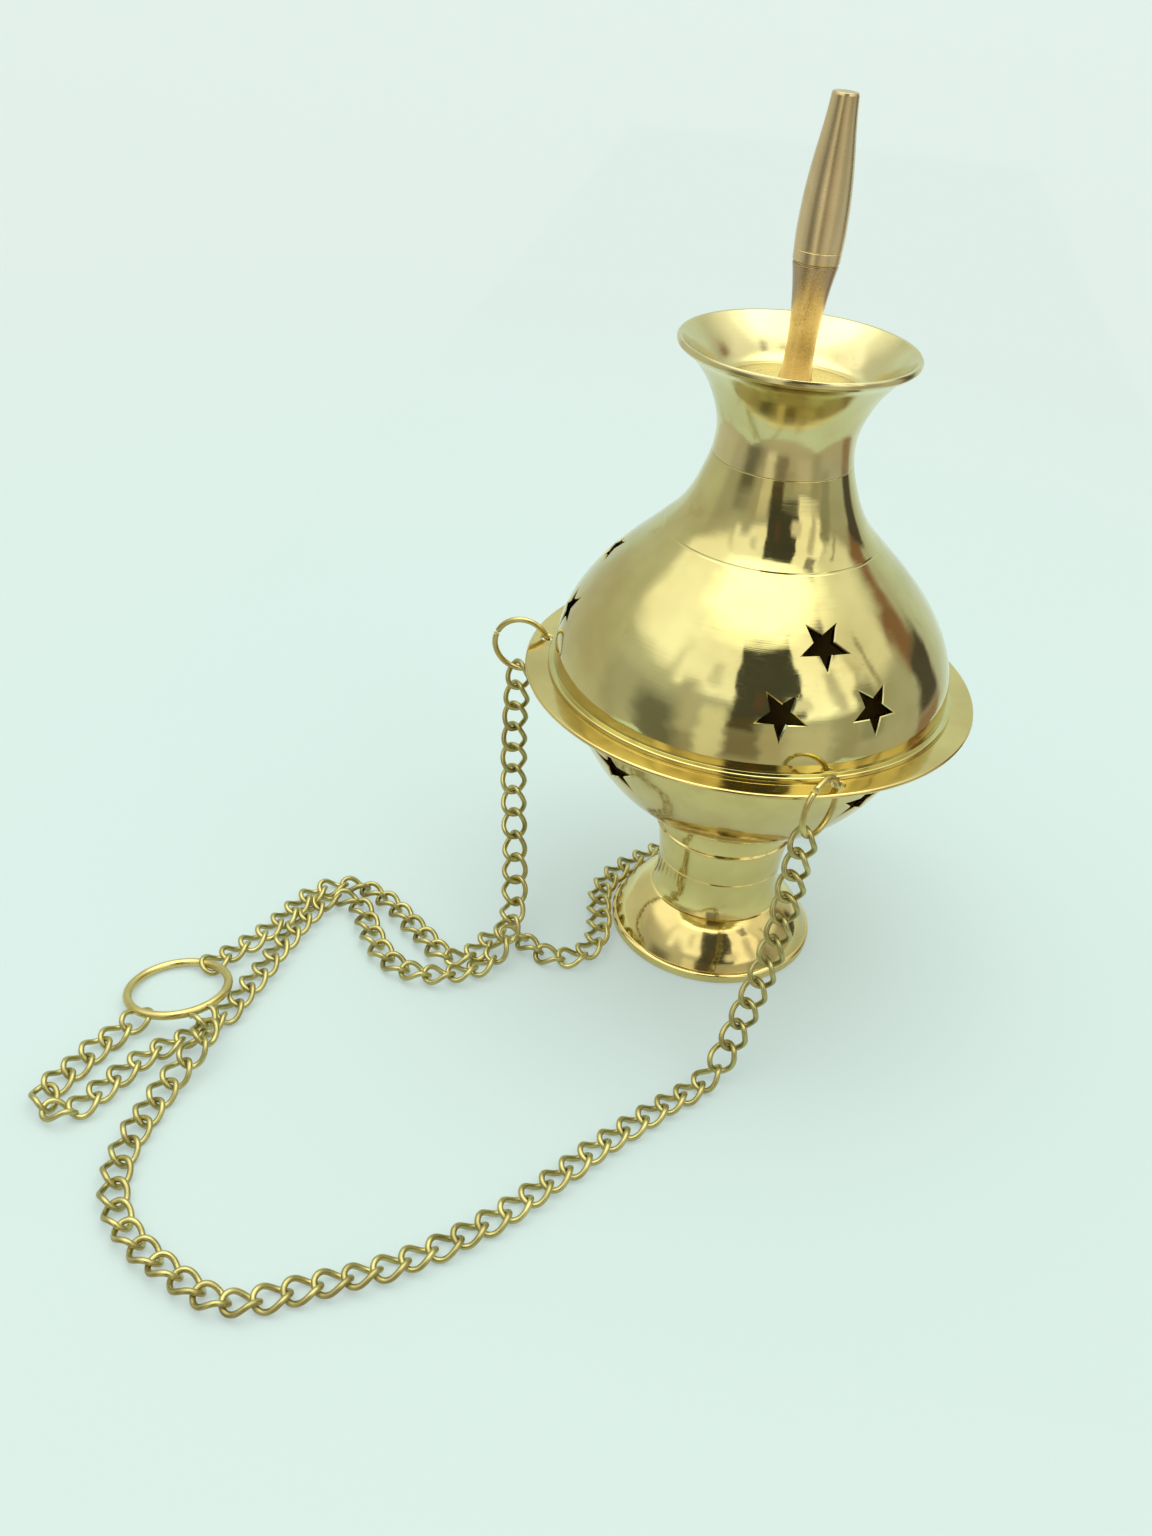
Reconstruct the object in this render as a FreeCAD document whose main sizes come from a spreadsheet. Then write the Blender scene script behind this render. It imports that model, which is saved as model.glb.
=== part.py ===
import FreeCAD, Part
import math
import os
import Sketcher
import PartDesign
from FreeCAD import Vector as V, Placement, Rotation

# Hanging brass censer (thurible).  Millimetres, +Z up.  The origin is the centre
# of the foot's bottom, so the censer stands on Z = 0 and its turning axis is Z.
# The three chains start at jump rings in the bowl's flange and lie beside the
# foot on Z = 0, where they meet the hanging ring.

doc = FreeCAD.newDocument("censer")

# ---------------------------------------------------------------- dimensions
sheet = doc.addObject("Spreadsheet::Sheet", "Params")
DIMS = [
    # foot
    ("foot_radius", 19.45), ("foot_lip_height", 1.7), ("foot_mouth_radius", 17.7),
    ("seat_height", 28.8), ("seat_radius", 13.3), ("foot_top_thick", 1.6),
    ("foot_bore_radius", 10.6), ("screw_hole_radius", 2.1),
    # bowl
    ("flange_radius", 40.0), ("flange_top", 56.28), ("flange_thick", 0.8),
    ("bowl_mouth_radius", 33.3), ("bowl_floor", 30.4),
    ("hole_pitch_radius", 37.1), ("hole_radius", 1.2), ("hole_azimuth", -63.0),
    ("bowl_star_radius", 4.9), ("bowl_star_azimuth", -42.0), ("bowl_star_height", 45.5),
    ("bowl_star_wall", 30.1), ("bowl_star_tilt", 65.0), ("bowl_star_count", 4),
    # lid
    ("lid_edge_radius", 35.96), ("lid_lip_height", 0.75), ("lid_register_radius", 32.6),
    ("lid_register_depth", 1.5), ("neck_seam_height", 97.2), ("neck_seam_radius", 11.76),
    ("neck_bore_radius", 10.7),
    ("lid_star_radius", 4.2), ("lid_star_azimuth", -65.0), ("lid_star_spread", 14.1),
    ("lid_star_high", 75.8), ("lid_star_low", 66.7), ("lid_star_groups", 3),
    # mouth cup
    ("cup_rim_radius", 19.5), ("cup_rim_height", 115.7), ("cup_floor", 108.8),
    ("cup_floor_under", 107.4), ("cup_floor_radius", 11.6), ("stud_hole_radius", 1.6),
    # handle
    ("handle_foot_radius", 2.9), ("handle_waist_radius", 2.28), ("handle_joint_height", 128.2),
    ("handle_joint_radius", 3.6), ("tenon_radius", 1.7), ("tenon_length", 5.0),
    ("handle_top", 152.9), ("handle_top_radius", 1.9), ("handle_lean", 1.1), ("handle_bore_radius", 1.75),
    # fastenings
    ("stud_radius", 1.5), ("stud_bottom", 102.6), ("stud_top", 118.8),
    ("lid_washer_radius", 4.0), ("lid_washer_thick", 0.8), ("lid_nut_flats", 5.5), ("lid_nut_height", 2.4),
    ("screw_radius", 2.0), ("screw_head_radius", 3.7), ("screw_head_height", 1.9), ("screw_bottom", 21.6),
    ("foot_washer_radius", 4.6), ("foot_washer_thick", 0.8), ("foot_nut_flats", 7.0), ("foot_nut_height", 3.0),
    # rings and chains
    ("jump_ring_radius", 5.0), ("jump_wire_radius", 0.53), ("jump_ring_dip", 21.0), ("jump_ring_sweep", 353.0),
    ("hang_ring_radius", 8.8), ("hang_wire_radius", 0.78), ("hang_ring_tilt", 10.6), ("hang_ring_height", 2.4),
    ("hang_ring_centre_x", -90.7), ("hang_ring_centre_y", -48.3), ("hang_ring_low_side", 137.0),
    ("chain_diameter", 3.0),
]
for i, (alias, value) in enumerate(DIMS):
    sheet.set("A%d" % (i + 1), alias)
    sheet.set("B%d" % (i + 1), str(value))
    sheet.setAlias("B%d" % (i + 1), alias)
doc.recompute()


def P(alias):
    return float(getattr(sheet, alias))


def plane(body, role):
    return [o for o in body.Origin.OriginFeatures if o.Role == role][0]


def axis(body, role):
    return [o for o in body.Origin.OriginFeatures if o.Role == role][0]


# ---------------------------------------------------------------- turned parts
# An outline is a closed list of vertices (radius, height).  Each vertex may name
# the sheet's cells that drive it, and each side is a straight line or a smooth
# curve through intermediate points.
def outline(body, name, verts, curves):
    sk = body.newObject("Sketcher::SketchObject", name)
    sk.AttachmentSupport = [(plane(body, "XZ_Plane"), "")]
    sk.MapMode = "FlatFace"
    n = len(verts)
    val = []
    for v in verts:
        val.append((P(v[0]) if isinstance(v[0], str) else float(v[0]),
                    P(v[1]) if isinstance(v[1], str) else float(v[1])))
    for i in range(n):
        a, b = val[i], val[(i + 1) % n]
        if i in curves:
            pts = [V(a[0], a[1], 0)] + [V(q[0], q[1], 0) for q in curves[i]] + [V(b[0], b[1], 0)]
            c = Part.BSplineCurve()
            c.interpolate(pts)
            sk.addGeometry(c, False)
        else:
            sk.addGeometry(Part.LineSegment(V(a[0], a[1], 0), V(b[0], b[1], 0)), False)
    for i in range(n):
        sk.addConstraint(Sketcher.Constraint("Coincident", i, 2, (i + 1) % n, 1))
    for i in range(n):
        for k, kind in ((0, "DistanceX"), (1, "DistanceY")):
            x = val[i][k]
            if abs(x) < 1e-9:
                sk.addConstraint(Sketcher.Constraint("PointOnObject", i, 1, -2 if k == 0 else -1))
            else:
                c = sk.addConstraint(Sketcher.Constraint(kind, -1, 1, i, 1, x))
                if isinstance(verts[i][k], str):
                    sk.setExpression("Constraints[%d]" % c, "Params.%s" % verts[i][k])
    return sk


def turned(label, verts, curves):
    body = doc.addObject("PartDesign::Body", "Body_" + label)
    body.Label = label
    sk = outline(body, label + "_outline", verts, curves)
    rev = body.newObject("PartDesign::Revolution", label + "_turning")
    rev.Profile = sk
    rev.ReferenceAxis = (sk, ["V_Axis"])
    rev.Angle = 360.0
    doc.recompute()
    return body


def star_sketch(body, name, azimuth, height, radius_out, tilt, size, tip_up, lift):
    """Five-pointed star on the plane that touches the wall at azimuth and height.
    tilt is the wall's slope from the horizontal, outwards and up."""
    a = math.radians(azimuth)
    s = math.radians(tilt)
    er = V(math.cos(a), math.sin(a), 0)
    et = V(-math.sin(a), math.cos(a), 0)
    up = er * math.cos(s) + V(0, 0, 1) * math.sin(s)
    nrm = et.cross(up)                      # outward normal: tangent x up
    if nrm.dot(er) < 0:
        nrm = nrm * -1.0
    xdir = up.cross(nrm)
    rot = Rotation(xdir, up, nrm, "XYZ")
    glob = Placement(er * radius_out + V(0, 0, height) + nrm * lift, rot)
    pl = plane(body, "XY_Plane")
    sk = body.newObject("Sketcher::SketchObject", name)
    sk.AttachmentSupport = [(pl, "")]
    sk.MapMode = "FlatFace"
    sk.AttachmentOffset = glob
    pts = []
    inner = size * 0.42
    for k in range(10):
        t = math.radians((90.0 if tip_up else -90.0) + 36.0 * k)
        r = size if k % 2 == 0 else inner
        pts.append(V(r * math.cos(t), r * math.sin(t), 0))
    for k in range(10):
        sk.addGeometry(Part.LineSegment(pts[k], pts[(k + 1) % 10]), False)
    for k in range(10):
        sk.addConstraint(Sketcher.Constraint("Coincident", k, 2, (k + 1) % 10, 1))
    return sk


def pocket(body, sk, name, depth):
    p = body.newObject("PartDesign::Pocket", name)
    p.Profile = sk
    p.Type = 0
    p.Length = depth
    doc.recompute()
    return p


def polar(body, feats, name, count_cell):
    pp = body.newObject("PartDesign::PolarPattern", name)
    pp.Originals = feats
    pp.Axis = (axis(body, "Z_Axis"), [""])
    pp.Angle = 360.0
    pp.Occurrences = int(P(count_cell)) if isinstance(count_cell, str) else count_cell
    if isinstance(count_cell, str):
        pp.setExpression("Occurrences", "Params.%s" % count_cell)
    body.Tip = pp
    doc.recompute()
    return pp


# foot: hollow pedestal with a rolled lip, a bell, a waist, a band and a collar
foot = turned("foot", [
    ("foot_mouth_radius", 0.0), (19.1, 0.0), ("foot_radius", 0.5), ("foot_radius", "foot_lip_height"),
    (18.75, 2.15), (12.75, 9.6), (12.35, 9.75), (11.75, 17.0), (11.45, 17.15), (11.8, 17.35),
    (12.55, 23.7), (12.85, 23.95), (12.85, 24.25), (12.6, 24.5),
    ("seat_radius", "seat_height"), ("screw_hole_radius", "seat_height"), ("screw_hole_radius", 27.2),
    ("foot_bore_radius", 27.2), (10.45, 14.0)], {
    3: [(19.2, 1.95)],
    4: [(17.9, 3.9), (16.6, 5.8), (14.8, 7.9)],
    6: [(11.85, 11.5), (11.6, 14.2)],
    9: [(12.1, 20.2)],
    11: [(13.0, 24.1)],
    13: [(12.85, 26.6)],
    18: [(11.2, 9.8), (13.6, 6.3), (16.4, 2.4)]})

# bowl: spun shell with a flat flange, three chain holes and four star openings
bowl = turned("bowl", [
    ("screw_hole_radius", "seat_height"), ("seat_radius", "seat_height"),
    (34.45, 55.0), (35.2, 55.48), (39.6, 55.48), ("flange_radius", 55.88), (39.6, "flange_top"),
    (33.75, "flange_top"), ("bowl_mouth_radius", 55.8), (13.2, 31.15), (8.0, "bowl_floor"),
    ("screw_hole_radius", "bowl_floor")], {
    1: [(14.9, 29.35), (16.9, 30.5), (19.2, 32.1), (21.2, 33.75), (22.95, 35.4), (25.0, 37.75), (26.7, 40.1),
        (28.25, 42.6), (29.6, 44.95), (30.85, 47.3), (31.95, 49.6), (32.95, 51.8), (33.85, 53.8)],
    2: [(34.75, 55.34)],
    4: [(39.88, 55.6)],
    5: [(39.88, 56.16)],
    8: [(32.55, 53.6), (31.75, 51.8), (30.75, 49.6), (29.6, 47.25), (28.3, 44.9), (26.9, 42.55), (25.3, 40.1),
        (23.5, 37.8), (21.4, 35.55), (19.4, 33.9), (16.6, 32.3)],
    9: [(10.6, 30.55)]})
v0 = bowl.Shape.Volume
hs = bowl.newObject("Sketcher::SketchObject", "chain_hole_sketch")
hs.AttachmentSupport = [(plane(bowl, "XY_Plane"), "")]
hs.MapMode = "FlatFace"
hs.AttachmentOffset = Placement(V(0, 0, 58.0), Rotation(V(0, 0, 1), P("hole_azimuth")))
hs.setExpression(".AttachmentOffset.Rotation.Angle", "Params.hole_azimuth")
hs.addGeometry(Part.Circle(V(P("hole_pitch_radius"), 0, 0), V(0, 0, 1), P("hole_radius")), False)
cc = hs.addConstraint(Sketcher.Constraint("Radius", 0, P("hole_radius")))
hs.setExpression("Constraints[%d]" % cc, "Params.hole_radius")
cc = hs.addConstraint(Sketcher.Constraint("DistanceX", -1, 1, 0, 3, P("hole_pitch_radius")))
hs.setExpression("Constraints[%d]" % cc, "Params.hole_pitch_radius")
hs.addConstraint(Sketcher.Constraint("PointOnObject", 0, 3, -1))
hp = pocket(bowl, hs, "chain_hole", 4.0)
polar(bowl, [hp], "chain_holes", 3)
v1 = bowl.Shape.Volume
print("chain holes cut %.3f mm3, expected %.3f" % (v0 - v1, 3 * math.pi * P("hole_radius") ** 2 * P("flange_thick")))
ss = star_sketch(bowl, "bowl_star_sketch", P("bowl_star_azimuth"), P("bowl_star_height"), P("bowl_star_wall"),
                 P("bowl_star_tilt"), P("bowl_star_radius"), True, 2.5)
sp = pocket(bowl, ss, "bowl_star", 6.0)
polar(bowl, [sp], "bowl_stars", "bowl_star_count")
v2 = bowl.Shape.Volume
print("bowl stars cut %.2f mm3" % (v1 - v2))

# lid: dome with a lip that sits on the flange and a register inside the mouth
lid_dome = turned("lid_dome", [
    ("lid_register_radius", "flange_top"), ("lid_edge_radius", "flange_top"), ("lid_edge_radius", 56.78),
    (35.7, 57.03), (34.95, 57.1),
    (18.5, 84.0), (18.25, 84.15), (18.15, 84.4), ("neck_seam_radius", "neck_seam_height"),
    ("neck_bore_radius", "neck_seam_height"), ("neck_bore_radius", 95.0),
    (33.9, 58.4), (31.7, 57.0), (31.7, 54.78), (32.3, 54.78)], {
    2: [(35.88, 56.95)],
    4: [(34.92, 59.0), (34.75, 61.0), (34.35, 63.0), (33.7, 65.0), (32.85, 67.0), (31.85, 68.9), (30.7, 70.7),
        (29.35, 72.6), (27.8, 74.5), (26.1, 76.4), (24.2, 78.4), (22.15, 80.4), (20.2, 82.3)],
    7: [(16.7, 86.0), (15.35, 87.95), (14.3, 89.9), (13.45, 91.9), (12.8, 93.7), (12.2, 95.5)],
    10: [(11.1, 93.8), (11.75, 92.0), (12.6, 90.0), (13.6, 88.0), (14.95, 86.0), (16.7, 84.0), (18.7, 82.0),
         (20.75, 80.0), (22.75, 78.0), (24.6, 76.1), (26.3, 74.2), (27.85, 72.2), (29.25, 70.2), (30.5, 68.2),
         (31.7, 66.0), (32.65, 63.8), (33.35, 61.5), (33.75, 59.5)]})
v0 = lid_dome.Shape.Volume
g = P("lid_star_azimuth")
d = P("lid_star_spread")
stars = []
for nm, az, hgt, rr, tilt in (("high", g, P("lid_star_high"), 26.65, 133.0),
                              ("low_left", g - d, P("lid_star_low"), 33.0, 114.5),
                              ("low_right", g + d, P("lid_star_low"), 33.0, 114.5)):
    s = star_sketch(lid_dome, "lid_star_%s_sketch" % nm, az, hgt, rr, tilt, P("lid_star_radius"), False, 2.5)
    stars.append(pocket(lid_dome, s, "lid_star_" + nm, 6.0))
polar(lid_dome, stars, "lid_stars", "lid_star_groups")
print("lid stars cut %.2f mm3" % (v0 - lid_dome.Shape.Volume))

# mouth cup: trumpet neck with a closed floor, seated in the dome's neck
mouth_cup = turned("mouth_cup", [
    (9.7, 95.2), (10.65, 95.2), (10.65, "neck_seam_height"), ("neck_seam_radius", "neck_seam_height"),
    (18.95, 114.25), ("cup_rim_radius", 114.8), (19.25, "cup_rim_height"), (18.8, 115.6),
    ("cup_floor_radius", "cup_floor"), ("stud_hole_radius", "cup_floor"),
    ("stud_hole_radius", "cup_floor_under"), (10.9, "cup_floor_under"), (9.9, 103.0)], {
    3: [(11.52, 99.0), (11.44, 100.6), (11.6, 102.4), (12.0, 104.2), (12.65, 106.1), (13.5, 108.0), (14.65, 110.0),
        (16.0, 111.75), (17.5, 113.3)],
    5: [(19.52, 115.35)],
    7: [(17.3, 114.2), (15.7, 112.55), (14.35, 110.9), (13.2, 109.5), (12.4, 108.95)],
    11: [(10.3, 105.2)],
    12: [(9.75, 100.5), (9.68, 98.0)]})

# handle: turned base with a waist, and a long grip that tapers to a flat top
base_turned = turned("handle_base_turned", [
    ("handle_bore_radius", 108.5), ("handle_foot_radius", 108.5), ("handle_foot_radius", 109.3),
    ("handle_joint_radius", "handle_joint_height"), (1.72, "handle_joint_height"), (1.72, 123.0),
    (0.0, 123.0), (0.0, 119.0), ("handle_bore_radius", 119.0)], {
    2: [(2.66, 110.4), (2.42, 112.3), (2.3, 114.4), (2.33, 117.0), (2.5, 120.2), (2.85, 123.6), (3.3, 126.6)]})
handle_grip = turned("handle_grip", [
    (0.0, 123.25), ("tenon_radius", 123.25), ("tenon_radius", "handle_joint_height"),
    (3.4, "handle_joint_height"), (3.4, 128.45), (3.66, 128.6), (3.72, 130.25), (3.6, 130.35), (3.74, 130.5),
    (2.05, 152.3), ("handle_top_radius", 152.65), (0.0, "handle_top")], {
    8: [(3.8, 132.4), (3.78, 134.5), (3.68, 137.2), (3.42, 140.6), (3.0, 144.2), (2.66, 146.6), (2.36, 149.0),
        (2.15, 151.0)]})

# the handle leans a little to the right; its foot is faced flat on the cup's floor
lean = Rotation(V(0, 1, 0), P("handle_lean"))
pivot = V(0, 0, P("cup_floor"))
for o in (base_turned, handle_grip):
    o.Placement = Placement(pivot - lean.multVec(pivot), lean)
block = doc.addObject("Part::Box", "Handle_block")
block.Label = "handle_block"
block.Length, block.Width, block.Height = 20, 20, 40
block.Placement = Placement(V(-10, -10, P("cup_floor")), Rotation())
handle_base = doc.addObject("Part::Common", "Handle_base")
handle_base.Label = "handle_base"
handle_base.Base = base_turned
handle_base.Tool = block
doc.recompute()

# inner fastenings: stud, washer and nut under the cup; screw, washer and nut in the foot
lid_stud = turned("lid_stud", [
    (0.0, "stud_bottom"), (1.2, "stud_bottom"), ("stud_radius", 102.9), ("stud_radius", 118.5),
    (1.2, "stud_top"), (0.0, "stud_top")], {})
lid_washer = turned("lid_washer", [
    ("stud_hole_radius", 106.6), ("lid_washer_radius", 106.6), ("lid_washer_radius", "cup_floor_under"),
    ("stud_hole_radius", "cup_floor_under")], {})
foot_screw = turned("foot_screw", [
    (0.0, "screw_bottom"), (1.7, "screw_bottom"), ("screw_radius", 21.9), ("screw_radius", "bowl_floor"),
    ("screw_head_radius", "bowl_floor"), ("screw_head_radius", 31.4), (2.6, 32.2), (0.9, 32.3), (0.9, 31.5),
    (0.0, 31.5)], {})
foot_washer = turned("foot_washer", [
    ("screw_hole_radius", 26.4), ("foot_washer_radius", 26.4), ("foot_washer_radius", 27.2),
    ("screw_hole_radius", 27.2)], {})


def hex_nut(label, flats, hole, z0, height):
    body = doc.addObject("PartDesign::Body", "Body_" + label)
    body.Label = label
    sk = body.newObject("Sketcher::SketchObject", label + "_outline")
    sk.AttachmentSupport = [(plane(body, "XY_Plane"), "")]
    sk.MapMode = "FlatFace"
    sk.AttachmentOffset = Placement(V(0, 0, z0), Rotation())
    r = P(flats) / 2.0 / math.cos(math.pi / 6)
    pts = [V(r * math.cos(math.pi / 3 * k), r * math.sin(math.pi / 3 * k), 0) for k in range(6)]
    for k in range(6):
        sk.addGeometry(Part.LineSegment(pts[k], pts[(k + 1) % 6]), False)
    for k in range(6):
        sk.addConstraint(Sketcher.Constraint("Coincident", k, 2, (k + 1) % 6, 1))
    sk.addGeometry(Part.Circle(V(0, 0, 0), V(0, 0, 1), P(hole)), False)
    sk.addConstraint(Sketcher.Constraint("Coincident", 6, 3, -1, 1))
    c = sk.addConstraint(Sketcher.Constraint("Radius", 6, P(hole)))
    sk.setExpression("Constraints[%d]" % c, "Params.%s" % hole)
    pad = body.newObject("PartDesign::Pad", label + "_pad")
    pad.Profile = sk
    pad.Length = P(height)
    pad.setExpression("Length", "Params.%s" % height)
    doc.recompute()
    return body


lid_nut = hex_nut("lid_nut", "lid_nut_flats", "stud_radius", 106.6 - P("lid_nut_height"), "lid_nut_height")
foot_nut = hex_nut("foot_nut", "foot_nut_flats", "screw_radius", 26.4 - P("foot_nut_height"), "foot_nut_height")


# ---------------------------------------------------------------- rings
# A jump ring stands in a vertical plane, passes through its flange hole and
# points along yaw; its centre dips below the flange by jump_ring_dip.
def jump_ring(label, azimuth, yaw, gap):
    t = doc.addObject("Part::Torus", "Ring_" + label)
    t.Label = label
    t.setExpression("Radius1", "Params.jump_ring_radius")
    t.setExpression("Radius2", "Params.jump_wire_radius")
    t.setExpression("Angle3", "Params.jump_ring_sweep")
    a, y, dip = math.radians(azimuth), math.radians(yaw), math.radians(P("jump_ring_dip"))
    hole = V(P("hole_pitch_radius") * math.cos(a), P("hole_pitch_radius") * math.sin(a),
             P("flange_top") - P("flange_thick") / 2)
    dvec = V(math.cos(y), math.sin(y), 0)
    centre = hole + (dvec * math.cos(dip) - V(0, 0, 1) * math.sin(dip)) * P("jump_ring_radius")
    gp = math.radians(gap)                  # where the split stands, from dvec towards +Z
    x = dvec * math.cos(gp) + V(0, 0, 1) * math.sin(gp)
    n = V(math.sin(y), -math.cos(y), 0)     # ring normal
    t.Placement = Placement(centre, Rotation(x, n.cross(x), n, "XYZ"))
    print("%s: hole (%.3f, %.3f, %.3f) centre (%.3f, %.3f, %.3f) axis (%.5f, %.5f, 0)" % (
        label, hole.x, hole.y, hole.z, centre.x, centre.y, centre.z, n.x, n.y))
    return t


z0 = P("hole_azimuth")
ring_front = jump_ring("jump_ring_front", z0, -120.0, 60.0)
ring_back = jump_ring("jump_ring_back", z0 + 120.0, 57.0, 140.0)
ring_left = jump_ring("jump_ring_left", z0 + 240.0, 180.0, 25.0)

hang_ring = doc.addObject("Part::Torus", "Ring_hanging")
hang_ring.Label = "hanging_ring"
hang_ring.setExpression("Radius1", "Params.hang_ring_radius")
hang_ring.setExpression("Radius2", "Params.hang_wire_radius")
tilt = P("hang_ring_tilt")
hz = P("hang_ring_height")              # it rests on the chains' last links
low = math.radians(P("hang_ring_low_side"))
hang_ring.Placement = Placement(V(P("hang_ring_centre_x"), P("hang_ring_centre_y"), hz),
                                Rotation(V(-math.sin(low), math.cos(low), 0), tilt))
hn = hang_ring.Placement.Rotation.multVec(V(0, 0, 1))
print("hanging ring centre z %.3f normal (%.5f, %.5f, %.5f)" % (hz, hn.x, hn.y, hn.z))

# ---------------------------------------------------------------- chains
# Each chain is a plain tube along straight runs joined by tangent arcs.
ROUTES = {
    "chain_left": [
        (-42.4, 2.4, 46.6), (-42.1, 1.8, 40.8), (-41.8, 1.3, 32.8), (-41.2, 0.0, 24.4), (-39.9, -3.2, 16.8),
        (-38.4, -8.2, 11.0), (-37.1, -13.8, 8.2), (-36.9, -19.8, 8.0), (-38.2, -25.0, 2.4), (-42.7, -30.0, 1.5),
        (-48.2, -32.5, 1.5), (-54.2, -32.2, 1.5), (-59.6, -28.2, 1.5), (-63.3, -22.5, 1.5), (-66.2, -16.7, 1.5),
        (-70.0, -14.1, 1.5), (-73.9, -15.7, 1.5), (-75.8, -21.8, 1.5), (-77.4, -30.0, 1.5), (-78.1, -37.6, 1.5),
        (-79.6, -44.9, 1.5), (-80.4, -51.4, 1.5), (-83.6, -58.2, 1.5), (-87.9, -62.4, 1.5), (-91.2, -68.2, 1.5),
        (-93.6, -74.2, 1.5), (-95.1, -79.0, 1.5), (-97.6, -80.4, 1.5), (-100.4, -79.6, 1.5), (-101.9, -77.0, 1.5),
        (-100.6, -72.6, 1.5), (-99.0, -68.2, 1.5), (-98.0, -63.6, 1.5), (-96.0, -59.6, 1.5)],
    "chain_back": [
        (22.4, 34.5, 46.6), (22.3, 34.7, 40.8), (21.9, 34.9, 32.8), (21.2, 35.3, 24.0), (19.8, 35.8, 16.0),
        (17.6, 36.6, 8.6), (14.4, 37.0, 3.0), (9.6, 37.0, 1.5), (3.6, 35.0, 1.5), (-2.4, 30.6, 1.5),
        (-8.0, 24.8, 1.5), (-13.3, 18.0, 1.5), (-18.5, 12.0, 1.5), (-21.9, 5.7, 1.5), (-22.5, -0.8, 1.5),
        (-21.2, -6.8, 1.5), (-20.5, -13.2, 1.5), (-22.1, -18.8, 1.5), (-26.7, -21.5, 1.5), (-32.0, -19.9, 1.5),
        (-35.9, -16.6, 1.5), (-39.6, -17.4, 1.5), (-41.3, -22.0, 1.5), (-43.8, -26.0, 1.5), (-47.6, -26.8, 1.5),
        (-51.0, -23.2, 1.5), (-55.0, -19.8, 1.5), (-60.1, -14.7, 1.5), (-65.3, -11.1, 1.5), (-70.6, -9.8, 1.5),
        (-75.8, -12.7, 1.5), (-78.3, -18.5, 1.5), (-80.1, -24.8, 1.5), (-82.5, -30.6, 1.5), (-84.7, -34.9, 1.5),
        (-86.1, -36.9, 1.5)],
    "chain_front": [
        (12.9, -38.2, 46.6), (12.4, -38.5, 40.8), (12.0, -38.8, 33.2), (11.3, -39.3, 26.0), (10.1, -40.2, 20.0),
        (8.6, -41.4, 13.8), (7.1, -42.8, 7.6), (5.0, -45.4, 2.4), (1.4, -50.2, 1.5), (-4.6, -57.2, 1.5),
        (-11.6, -66.1, 1.5), (-18.0, -75.7, 1.5), (-24.1, -84.1, 1.5), (-31.7, -92.2, 1.5), (-40.2, -99.1, 1.5),
        (-49.8, -104.1, 1.5), (-58.4, -109.7, 1.5), (-67.8, -106.2, 1.5), (-76.4, -101.6, 1.5),
        (-82.3, -95.2, 1.5), (-84.6, -86.9, 1.5), (-84.4, -79.0, 1.5), (-83.7, -72.2, 1.5), (-82.6, -67.0, 2.6),
        (-81.0, -62.4, 7.4), (-81.2, -58.8, 7.6), (-82.9, -56.4, 6.6)],
}


def tube(label, pts):
    dia = P("chain_diameter")
    pts = [V(*p) for p in pts]
    runs = [(pts[i + 1] - pts[i]).Length for i in range(len(pts) - 1)]
    edges = []
    start = pts[0]
    radii = []
    for i in range(1, len(pts) - 1):
        a = (pts[i - 1] - pts[i]).normalize()
        b = (pts[i + 1] - pts[i]).normalize()
        turn = math.pi - a.getAngle(b)
        back = 0.45 * min(runs[i - 1], runs[i])
        radius = back / math.tan(turn / 2)
        radii.append(radius)
        p1 = pts[i] + a * back
        p2 = pts[i] + b * back
        bis = (a + b).normalize()
        mid = pts[i] + bis * (radius / math.cos(turn / 2) - radius)
        if (p1 - start).Length > 1e-6:
            edges.append(Part.LineSegment(start, p1).toShape())
        edges.append(Part.Arc(p1, mid, p2).toShape())
        start = p2
    edges.append(Part.LineSegment(start, pts[-1]).toShape())
    path = Part.Wire(edges)
    d0 = (pts[1] - pts[0]).normalize()
    ring = Part.Wire([Part.Circle(pts[0], d0, dia / 2).toShape()])
    solid = path.makePipeShell([ring], True, False)
    obj = doc.addObject("Part::Feature", "Tube_" + label)
    obj.Label = label
    obj.Shape = solid
    obj.Placement = Placement(V(0, 0, 0), Rotation())
    want = math.pi * dia * dia / 4 * path.Length
    print("%s: length %.1f mm, volume %.1f of %.1f mm3, radii %s" % (
        label, path.Length, obj.Shape.Volume, want, " ".join("%.1f" % r for r in radii)))
    return obj


tubes = [tube(k, v) for k, v in ROUTES.items()]
doc.recompute()

# ---------------------------------------------------------------- checks and files
parts = [foot, foot_screw, foot_washer, foot_nut, bowl, lid_dome, mouth_cup, lid_stud, lid_washer, lid_nut,
         handle_base, handle_grip, ring_left, ring_front, ring_back, hang_ring] + tubes
bad = [o.Name for o in doc.Objects if any(k in o.State for k in ("Invalid", "Error"))]
for o in parts:
    if o.Shape.isNull() or not o.Shape.isValid() or len(o.Shape.Solids) != 1:
        bad.append(o.Label)
if bad:
    raise RuntimeError("failed objects: " + ", ".join(bad))
os.makedirs("parts", exist_ok=True)
for o in parts:
    o.Shape.exportStep("parts/%s.step" % o.Label)
    bb = o.Shape.BoundBox
    print("%-16s vol %9.2f  x %.1f..%.1f y %.1f..%.1f z %.2f..%.2f" % (
        o.Label, o.Shape.Volume, bb.XMin, bb.XMax, bb.YMin, bb.YMax, bb.ZMin, bb.ZMax))
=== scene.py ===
import bpy
import math
import random
import numpy as np
from mathutils import Matrix, Vector
from mathutils.geometry import delaunay_2d_cdt


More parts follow.
